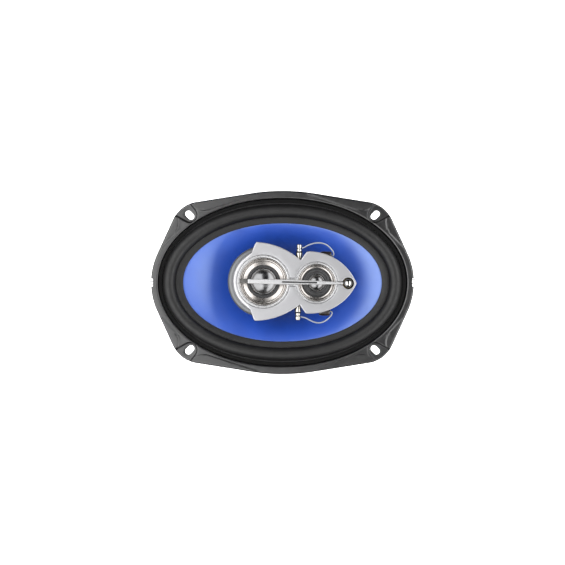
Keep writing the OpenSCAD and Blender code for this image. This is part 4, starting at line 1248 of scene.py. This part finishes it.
def make_horn(name, x, r_low, z_low, r_high, notch=False):
    """A waveguide: a shallow dish, a stepped wall round it, and a lip that is rolled over."""
    z_high = BEZEL_TOP - 0.4
    wide, high = r_high - r_low, z_high - z_low
    dish_r, dish_z = r_low + 0.66 * wide, z_low + 0.66 * wide * math.tan(DISH_LEAN)
    tread_r, tread_z = dish_r + 0.06 * wide, dish_z + 0.45 * (z_high - dish_z)
    corners = [
        (r_low, z_low), (dish_r, dish_z), (tread_r, tread_z), (tread_r + 0.14 * wide, tread_z + 0.1),
        (r_high - 0.1, z_high - 0.04 * high), (r_high + 0.3, z_high + 0.12), (r_high + 0.65, z_high),
        (r_high + 0.5, z_high - 0.8), (tread_r + 0.9, tread_z - 0.8), (dish_r + 0.7, dish_z - 0.5),
        (r_low + 0.4, z_low),
    ]
    profile = soften(corners, [0.1, 0.5, 0.25, 0.25, 0.3, 0.15, 0.15, 0.3, 0.3, 0.3, 0], 6)
    horn = lathe(name, profile, 300, (x, 0), True, 60)
    if notch:
        left = x - RING_MID_R - 1
        cutter = box_object("notch", (left, -2.1, LEDGE_Z + 0.2), (left + 10, 2.1, FACE_Z + 5), 0, True)
        combine(horn, [cutter], "DIFFERENCE", 60)
    return horn


def make_dome(name, x, radius, rise, z, thick=0.4):
    """A dome that meets its flat edge in a small roll."""
    big = (radius ** 2 + rise ** 2) / (2 * rise)
    edge = math.asin(radius / big)
    turn = np.linspace(0, edge, 30)
    outer = np.column_stack([big * np.sin(turn), z + rise - big + big * np.cos(turn)])
    outer[0, 0] = 0
    roll = [(radius + 0.12, z - 0.02), (radius + 0.3, z + 0.16), (radius + 0.5, z + 0.12), (radius + 0.7, z)]
    inner = outer[::-1] - (0, thick)
    return lathe(name, [*outer, *roll, (radius + 0.7, z - thick), *inner], 200, (x, 0), bridge=True, sharp=70)


def make_frame_ring(name, x, inner, outer, lines, z, high):
    """The black ring round a dome: a flat face with thin raised lines and a rounded inner edge."""
    section = [(inner, z), (inner, z + high - 0.5), (inner + 0.15, z + high - 0.15), (inner + 0.5, z + high)]
    for line in lines:
        for offset, lift in ((-0.5, 0), (-0.32, 0.22), (-0.12, 0.42), (0.12, 0.42), (0.32, 0.22), (0.5, 0)):
            section.append((line + offset, z + high + lift))
    section += [(outer, z + high), (outer, z)]
    return lathe(name, section, 240, (x, 0), bridge=True, sharp=60)


def make_ball():
    lo, hi = node_box("super_ball")
    radius, top = (hi[0] - lo[0]) / 2, hi[2]
    turn = np.linspace(0, math.pi - 0.25, 40)
    profile = np.column_stack([radius * np.sin(turn), top - radius + radius * np.cos(turn)])
    stem = [(1.0, profile[-1][1] - 0.2), (1.0, lo[2] + 0.4), (1.6, lo[2]), (0, lo[2])]
    return lathe("chrome_ball", [*profile, *stem], 120, (SUPER_X, 0), True, 50)


# ---- Leads of the bridge ----


def turned(name, profile):
    """Two pieces turned about the line of the lead posts; profile holds (radius, |y|)."""
    points, faces = lathe_mesh(profile, 64)
    x, y, z = points.T
    places = [np.column_stack([LEAD_X + x, s * z, LEAD_Z + y]) for s in (1, -1)]
    return joined(name, [mesh_object(name, points, faces, 35, True) for points in places])


def make_posts():
    """Nickel posts: a grooved collar, a waist for the bush, and a barrel with a rolled end."""
    corners = [
        (0, 16.05), (3.1, 16.05), (3.1, 18.2), (2.7, 18.6), (2.7, 19.4), (3.1, 19.8), (3.1, 26.6),
        (1.6, 26.6), (1.6, 27.4), (2.45, 27.4), (2.45, 29.4), (2.1, 29.8), (2.1, 30.3), (2.45, 30.7),
        (2.45, 33.8), (1.1, 33.8), (1.1, 33.1), (0, 33.1),
    ]
    radii = [0, 0.4, 0.2, 0.2, 0.2, 0.2, 0.7, 0.1, 0.1, 0.5, 0.25, 0.2, 0.2, 0.25, 0.8, 0.2, 0, 0]
    return turned("nickel_posts", soften(corners, radii, 4))


def make_bushes():
    corners = [(1.6, 26.6), (2.9, 26.6), (2.9, 27.4), (1.6, 27.4)]
    return turned("black_bushes", soften(corners, [0.05, 0.25, 0.25, 0.05], 3))


def cross_recess(x, y, z_low, z_high):
    """Two crossed cutters for a screw's head."""
    return [
        box_object("cross", (x - a, y - b, z_low), (x + a, y + b, z_high), 0.08, bridge=True)
        for a, b in ((1.3, 0.28), (0.28, 1.3))
    ]


def threaded(radius, low, high, pitch=0.5, depth=0.22):
    """Points of a thread's section, from its low end to its high end."""
    section = []
    for z in np.arange(low, high - pitch / 2, pitch):
        section += [(radius - depth, z), (radius, z + pitch / 2)]
    return [*section, (radius - depth, high)]


def make_screws():
    """Pan head screws with a cross recess, driven up through the housing into the cover."""
    made = []
    seat, tip = BODY_BOTTOM + 2.5, COVER_BOTTOM + 1.5
    head = soften([(0, seat - 2), (2.4, seat - 2), (2.4, seat), (0.9, seat)], [0, 1.0, 0.2, 0], 6)
    profile = [*head, *threaded(1.25, seat + 0.1, tip - 0.3), (0, tip)]
    for x, y in SCREWS:
        screw = lathe("screw", profile, 48, (x, y), True)
        made.append(combine(screw, cross_recess(x, y, seat - 3, seat - 1.1), "DIFFERENCE"))
    return joined("cross_screws", made)


def make_nut():
    """A hexagon nut with chamfered corners; its first corner is turned onto the X axis."""
    lo, hi = node_box("post_nut")
    corner, low, high = hi[0], lo[2], hi[2]
    bm = bmesh.new()
    bmesh.ops.create_cone(
        bm, cap_ends=True, segments=6, radius1=corner, radius2=corner, depth=high - low)
    x, y, z = (np.array([tuple(v.co) for v in bm.verts]) + (0, 0, (low + high) / 2)).T
    faces = [[v.index for v in f.verts] for f in bm.faces]
    bm.free()
    turn = -math.atan2(y[0], x[0])
    c, s = math.cos(turn), math.sin(turn)
    nut = mesh_object("hexagon_nut", np.column_stack([x * c - y * s, x * s + y * c, z]), faces, 30)
    chamfer = [(0, low), (corner - 1.5, low), (corner + 0.1, low + 0.9), (corner + 0.1, high), (0, high)]
    combine(nut, [lathe("chamfer", chamfer, 120)], "INTERSECT", 30)
    bore = [(0, low - 1), (5.7, low - 1), (5.7, low), (5.05, low + 0.65), (5.05, high + 1), (0, high + 1)]
    return combine(nut, [lathe("bore", bore, 120)], "DIFFERENCE", 30)


def make_post():
    """The turned post: a chamfered top, a groove, and a threaded stud through the yoke."""
    lo, hi = node_box("bridge_post")
    low, high = lo[2], hi[2]
    stud_r, barrel_r, groove_r = 5.0, 8.0, 7.5
    stud = threaded(stud_r, low + 0.8, PLATE_TOP - 8, 1.0, 0.45)
    barrel = [
        (stud_r, PLATE_TOP - 7.8), (stud_r, PLATE_TOP), (barrel_r, PLATE_TOP), (barrel_r, -32),
        (groove_r, -31.6), (groove_r, -30.4), (barrel_r, -30), (barrel_r, high - 0.7),
        (barrel_r - 0.7, high), (0, high),
    ]
    return lathe("turned_post", [(0, low), (4.2, low), (4.8, low + 0.6), *stud, *barrel], 120)


def make_tab(name):
    """A push-on blade: chamfered tip, a locking hole, and a square root under its rivet."""
    x, width = TABS[name]
    half, root, tip = width / 2, TAB_ROOT, -TAB_DROP
    low_root = TAB_RIVET_Z - root
    corners = [
        (-half + 0.7, tip), (half - 0.7, tip), (half, tip + 1.4), (half, low_root), (root, low_root),
        (root, TAB_RIVET_Z + root), (-root, TAB_RIVET_Z + root), (-root, low_root), (-half, low_root),
        (-half, tip + 1.4),
    ]
    outline = subdivided(soften(corners, [0.2, 0.2, 0.3, 0.4, 0.4, 0.8, 0.8, 0.4, 0.4, 0.3], 4), 0.5)
    loops = [outline, circle((0, tip + 4.2), 0.7, 24), circle((0, TAB_RIVET_Z), 1.2, 32)]
    edges = offset_points(outline, (0.06, 0.18, 0.35))
    extra = plate_points(loops, np.vstack([edges, hex_grid((-4, tip), (4, 0), 0.7)]), 0.05)

    def face(sign):
        def height(points):
            near = np.min([distance(points, loop) for loop in loops], axis=0)
            slope = np.clip(tip + 1.6 - points[:, 1], 0, 1.6) * 0.15
            return sign * (TAB_T / 2 - edge_drop(near, 0.18) - slope)
        return height

    flat = relief(name, loops, extra, face(1), face(-1))
    c, s = math.cos(WALL_LEAN), math.sin(WALL_LEAN)
    lean = np.array([[1, 0, 0], [0, c, -s], [0, s, c]])
    p = points_of(flat)
    upright = np.column_stack([x + p[:, 0], -BOARD_T - TAB_T / 2 - p[:, 2], p[:, 1]])
    placed = upright @ lean.T + (0, -wall_y(BOARD_Z) - 0.1, BOARD_Z)
    flat.data.vertices.foreach_set("co", (placed * MM).ravel())
    flat.data.flip_normals()
    return flat


CAPACITORS = ((38.5, 24.9), (38.1, -26.2))


def make_capacitors():
    """Dipped film capacitors with domed ends."""
    made = []
    profile = soften([(0, -5), (3.3, -5), (3.3, 5), (0, 5)], [0, 1.6, 1.6, 0], 6)
    for x, y in CAPACITORS:
        points, faces = lathe_mesh(profile, 64)
        px, py, pz = points.T
        placed = np.column_stack([x + pz, y + px, COVER_BOTTOM - 3.35 + py])
        made.append(mesh_object("capacitor", placed, faces, 35, True))
    return joined("film_capacitors", made)


# Wires, each as points given along its route, as in the CAD model
UPPER_ROUTE = (
    (16.9, 30.6, 13.5), (19, 31.4, 13.7), (22.5, 33.4, 14), (26.3, 34.8, 14.3),
    (30.6, 35.6, 14.5), (35.2, 35.3, 14.5), (39.4, 33.6, 14.3), (42.4, 31, 14),
    (44.6, 28.3, 13.9), (45.3, 26, 13.9), (44.9, 24.6, 13.9), (44.2, 24.2, 13.9),
    (43.6, 24.2, 13.9),
)
LOWER_ROUTE = (
    (16.9, -30.6, 13.5), (19, -31.2, 13.7), (22, -32, 14), (26.3, -34.2, 14.3),
    (31, -35.7, 14.5), (35.2, -35.6, 14.5), (39.2, -33.8, 14.3), (42.3, -31.2, 14),
    (44.2, -28.9, 13.9), (44.9, -27.1, 13.9), (44.5, -25.8, 13.9), (43.8, -25.4, 13.9),
    (43.2, -25.4, 13.9),
)
POSITIVE_ROUTE = (
    (11.4, -60.4, -27.6), (11.4, -58, -27), (11.2, -54, -28.6), (10.5, -48, -31),
    (9, -41, -31.8), (7, -34, -31.2), (5.2, -29, -29.6), (4.2, -26.4, -27.9),
)
NEGATIVE_ROUTE = (
    (-11.4, -60.4, -27.6), (-11.5, -58, -27), (-12, -54, -28.6), (-13, -48, -31),
    (-13.8, -41, -31.4), (-14.2, -34, -30.2), (-14.4, -29, -27.6), (-14.5, -26.4, -25.6),
)


def flex_route(node):
    """From the cone's eyelet in a bow up to the underside of the bridge."""
    lo, hi = node_box(node)
    x = (lo[0] + hi[0]) / 2
    top_y, low_y = -20.0, lo[1] + 0.5
    return (
        (x, low_y, lo[2] + 0.3), (x, low_y + 1.6, lo[2] + 2.4), (x, low_y + 4.2, lo[2] + 6.8),
        (x, hi[1] - 0.6, lo[2] + 12.5), (x, top_y + 0.5, hi[2] - 6), (x, top_y, hi[2]),
    )


# ---- CAD nodes that keep their own shape ----


def dress(node, material, slot, bevel):
    """Gives a CAD node its material and rounds its edges."""
    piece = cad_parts[node]
    custom = piece.data.attributes.get("custom_normal")
    if custom:
        piece.data.attributes.remove(custom)
    piece.data.materials.clear()
    piece.data.materials.append(material)
    piece.modifiers.new("weld", "WELD").merge_threshold = 1e-3 * MM
    flat = piece.modifiers.new("flat", "DECIMATE")
    flat.decimate_type = "DISSOLVE"
    flat.angle_limit = math.radians(0.5)
    rounding = piece.modifiers.new("round", "BEVEL")
    rounding.width = bevel * MM
    rounding.segments = 3
    rounding.limit_method = "ANGLE"
    rounding.angle_limit = math.radians(35)
    smooth(piece.data, 30)


DRESSED = (
    ("voice_coil_former", FOIL, "aluminium_foil", 0.05),
    ("voice_coil", WINDING, "copper", 0.1),
    ("dust_ring", FELT, "felt", 0.3),
    ("cone_eyelets", BRASS, "brass", 0.2),
    ("top_plate", ZINC, "plated_steel", 0.5),
    ("magnet", FERRITE, "ferrite", 0.8),
    ("yoke", ZINC, "plated_steel", 0.5),
    ("plate_rivets", RIVET, "rivet_steel", 0.3),
    ("terminal_board", BOARD, "board", 0.15),
    ("board_rivets", RIVET, "rivet_steel", 0.2),
    ("tab_rivets", RIVET, "rivet_steel", 0.15),
    ("mid_yoke", SMALL_STEEL, "small_steel", 0.2),
    ("mid_magnet", NEODYMIUM, "neodymium", 0.2),
    ("mid_pole", SMALL_STEEL, "small_steel", 0.2),
    ("mid_coil", WINDING, "copper", 0.05),
    ("tweeter_yoke", SMALL_STEEL, "small_steel", 0.2),
    ("tweeter_magnet", NEODYMIUM, "neodymium", 0.2),
    ("tweeter_pole", SMALL_STEEL, "small_steel", 0.2),
    ("tweeter_coil", WINDING, "copper", 0.05),
    ("super_well", BLACK, "ring_black", 0.1),
    ("piezo_disc", PIEZO, "piezo", 0.05),
)


# ---- The speaker ----

for make, material, slot, node in (
    (make_flange, ENAMEL, "basket", "basket"),
    (make_bowl, ENAMEL, "basket", "basket"),
    (make_gasket, GASKET, "gasket", "front_gasket"),
    (make_boot, BOOT, "boot_rubber", "magnet_boot"),
    (make_body, BODY, "body_grey", "bridge_body"),
    (make_cover, COVER, "cover_silver", "bridge_cover"),
    (make_bezel, BEZEL, "bezel_silver", "bridge_bezel"),
    (make_bar, BAR_SILVER, "bezel_silver", "bridge_bezel"),
    # the black strip in the slit is painted shade
    (make_slit_shade_strip, BLACK, "ring_black", "bridge_bezel"),
    # the foot's dark paint is painted shade from the bar above it
    (make_foot, FOOT_SHADE_GREY, "body_grey", "bridge_bezel"),
    (make_ball, CHROME, "chrome", "super_ball"),
    (make_posts, NICKEL, "post_nickel", "lead_posts"),
    (make_bushes, BUSH, "bush_black", "post_bushes"),
    (make_capacitors, BROWN, "capacitor", "crossover_capacitors"),
    (make_screws, RIVET, "rivet_steel", "cover_screws"),
    (make_nut, RIVET, "rivet_steel", "post_nut"),
    (make_post, ALUMINIUM, "post_aluminium", "bridge_post"),
):
    finish_piece(make(), material, slot, "root", node)

finish_piece(make_cone(), CONE_BLUE, "cone", "cone_assembly", "cone")
finish_piece(make_tab("positive_blade"), BRASS, "brass", "root", "positive_tab")
finish_piece(make_tab("negative_blade"), TIN, "tinned_brass", "root", "negative_tab")
for name, route, node in (
    ("upper_wire", UPPER_ROUTE, "bridge_lead_upper"), ("lower_wire", LOWER_ROUTE, "bridge_lead_lower"),
):
    finish_piece(wire(name, route, True), GREY_WIRE, "lead_grey", "root", node)

horn = make_horn("mid_horn", MID_X, 15, MID_FLOOR + 8, RING_MID_R - 1, True)
finish_piece(horn, BOWL, "bowl_silver", "root", "mid_bowl")
horn = make_horn("tweeter_horn", TWEETER_X, 13.4, TW_FLOOR + 7.35, RING_TW_R - 1)
finish_piece(horn, BOWL, "bowl_silver", "root", "tweeter_bowl")
dome = make_dome("mid_film", MID_X, 10.8, 3.6, MID_FLOOR + 7.7)
finish_piece(dome, DOME, "dome_metal", "mid_diaphragm", "mid_dome")
dome = make_dome("tweeter_film", TWEETER_X, 6.6, 2.6, TW_FLOOR + 7)
finish_piece(dome, DOME, "dome_metal", "tweeter_diaphragm", "tweeter_dome")
ring = make_frame_ring("mid_frame", MID_X, 11.9, 15.6, (12.9, 14.2), MID_FLOOR + 6.8, 1.2)
finish_piece(ring, BLACK, "ring_black", "root", "mid_ring")
ring = make_frame_ring("tweeter_frame", TWEETER_X, 7.7, 13.8, (9.6, 11.8), TW_FLOOR + 6.3, 1.0)
finish_piece(ring, BLACK, "ring_black", "root", "tweeter_ring")

surround = finish_piece(make_surround(), BUTYL, "surround", None, "surround")
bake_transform(surround)
out = roll_width(points_of(surround))

spider = finish_piece(make_spider(), CLOTH, "spider_cloth", None, "spider")
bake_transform(spider)
radius = np.linalg.norm(points_of(spider)[:, :2], axis=1)

for name, node, route in (
    ("positive_braid", "tinsel_lead_positive", POSITIVE_ROUTE),
    ("negative_braid", "tinsel_lead_negative", NEGATIVE_ROUTE),
):
    lead = finish_piece(braided(name, route, 1.5), BRAID, "tinsel", None, node)
    [c * MM for c in route[0]]
    [c * MM for c in route[-1]]
    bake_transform(lead)

for name, node in (("positive_flex", "flex_lead_positive"), ("negative_flex", "flex_lead_negative")):
    route = flex_route(node)
    lead = finish_piece(wire(name, route), BLACK_WIRE, "black_wire", None, node)
    [c * MM for c in route[-1]]
    [c * MM for c in route[0]]
    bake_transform(lead)

for row in DRESSED:
    dress(*row)

# ---- Floor, light and camera ----


def make_floor():
    low = BOOT_LO[2] - 0.1
    bpy.ops.mesh.primitive_plane_add(size=6, location=(0, 0, low * MM))
    floor = bpy.context.object
    floor.name = "floor"
    p = Paint("floor_paper", Roughness=0.9)
    p.colours(p.noise(60, 2), (0.86, 0.86, 0.86), (0.88, 0.88, 0.88))
    p.shader.inputs["Emission Color"].default_value = (1, 1, 1, 1)
    p.shader.inputs["Emission Strength"].default_value = 0.9
    floor.data.materials.append(p.material)
    floor.visible_glossy = False


def softbox(name, place, size, power):
    """A lamp that faces the origin; its place is in metres and its power in watts."""
    light = bpy.data.lights.new(name, "AREA")
    light.shape = "RECTANGLE"
    light.size, light.size_y = size
    light.energy = power
    lamp = bpy.data.objects.new(name, light)
    lamp.location = place
    lamp.rotation_mode = "QUATERNION"
    lamp.rotation_quaternion = (-Vector(place)).to_track_quat("-Z", "Y")
    bpy.context.scene.collection.objects.link(lamp)


make_floor()
softbox("key", (-0.72, -0.06, 1.00), (2.6, 1.4), 46)
softbox("fill", (0.72, -0.06, 0.68), (2.6, 0.66), 25)
softbox("bank", (0, -0.42, 0.95), (0.9, 0.22), 0.9)


def make_room():
    """Surroundings that are lighter at the two sides than overhead and along Y."""
    world = bpy.data.worlds.new("room")
    world.use_nodes = True
    tree = world.node_tree
    coords = add_node(tree, "ShaderNodeTexCoord").outputs["Generated"]
    x = add_node(tree, "ShaderNodeSeparateXYZ", {0: coords}).outputs["X"]
    square = add_node(tree, "ShaderNodeMath", {0: x, 1: x}, operation="MULTIPLY").outputs[0]
    limits = {"From Min": 0.2, "From Max": 1.0, "To Min": 0.04, "To Max": 0.7}
    strength = add_node(tree, "ShaderNodeMapRange", {"Value": square}, limits).outputs["Result"]
    background = tree.nodes["Background"]
    background.inputs["Color"].default_value = (1, 1, 1, 1)
    tree.links.new(strength, background.inputs["Strength"])
    bpy.context.scene.world = world


make_room()
bpy.context.scene.view_settings.view_transform = "Standard"

CAMERA_HEIGHT = 1.1
camera_data = bpy.data.cameras.new("camera")
camera_data.sensor_width = 36
camera_data.lens = 36 * CAMERA_HEIGHT / 0.512
camera = bpy.data.objects.new("camera", camera_data)
camera.location = (0, 0, CAMERA_HEIGHT)
bpy.context.scene.collection.objects.link(camera)
bpy.context.scene.camera = camera
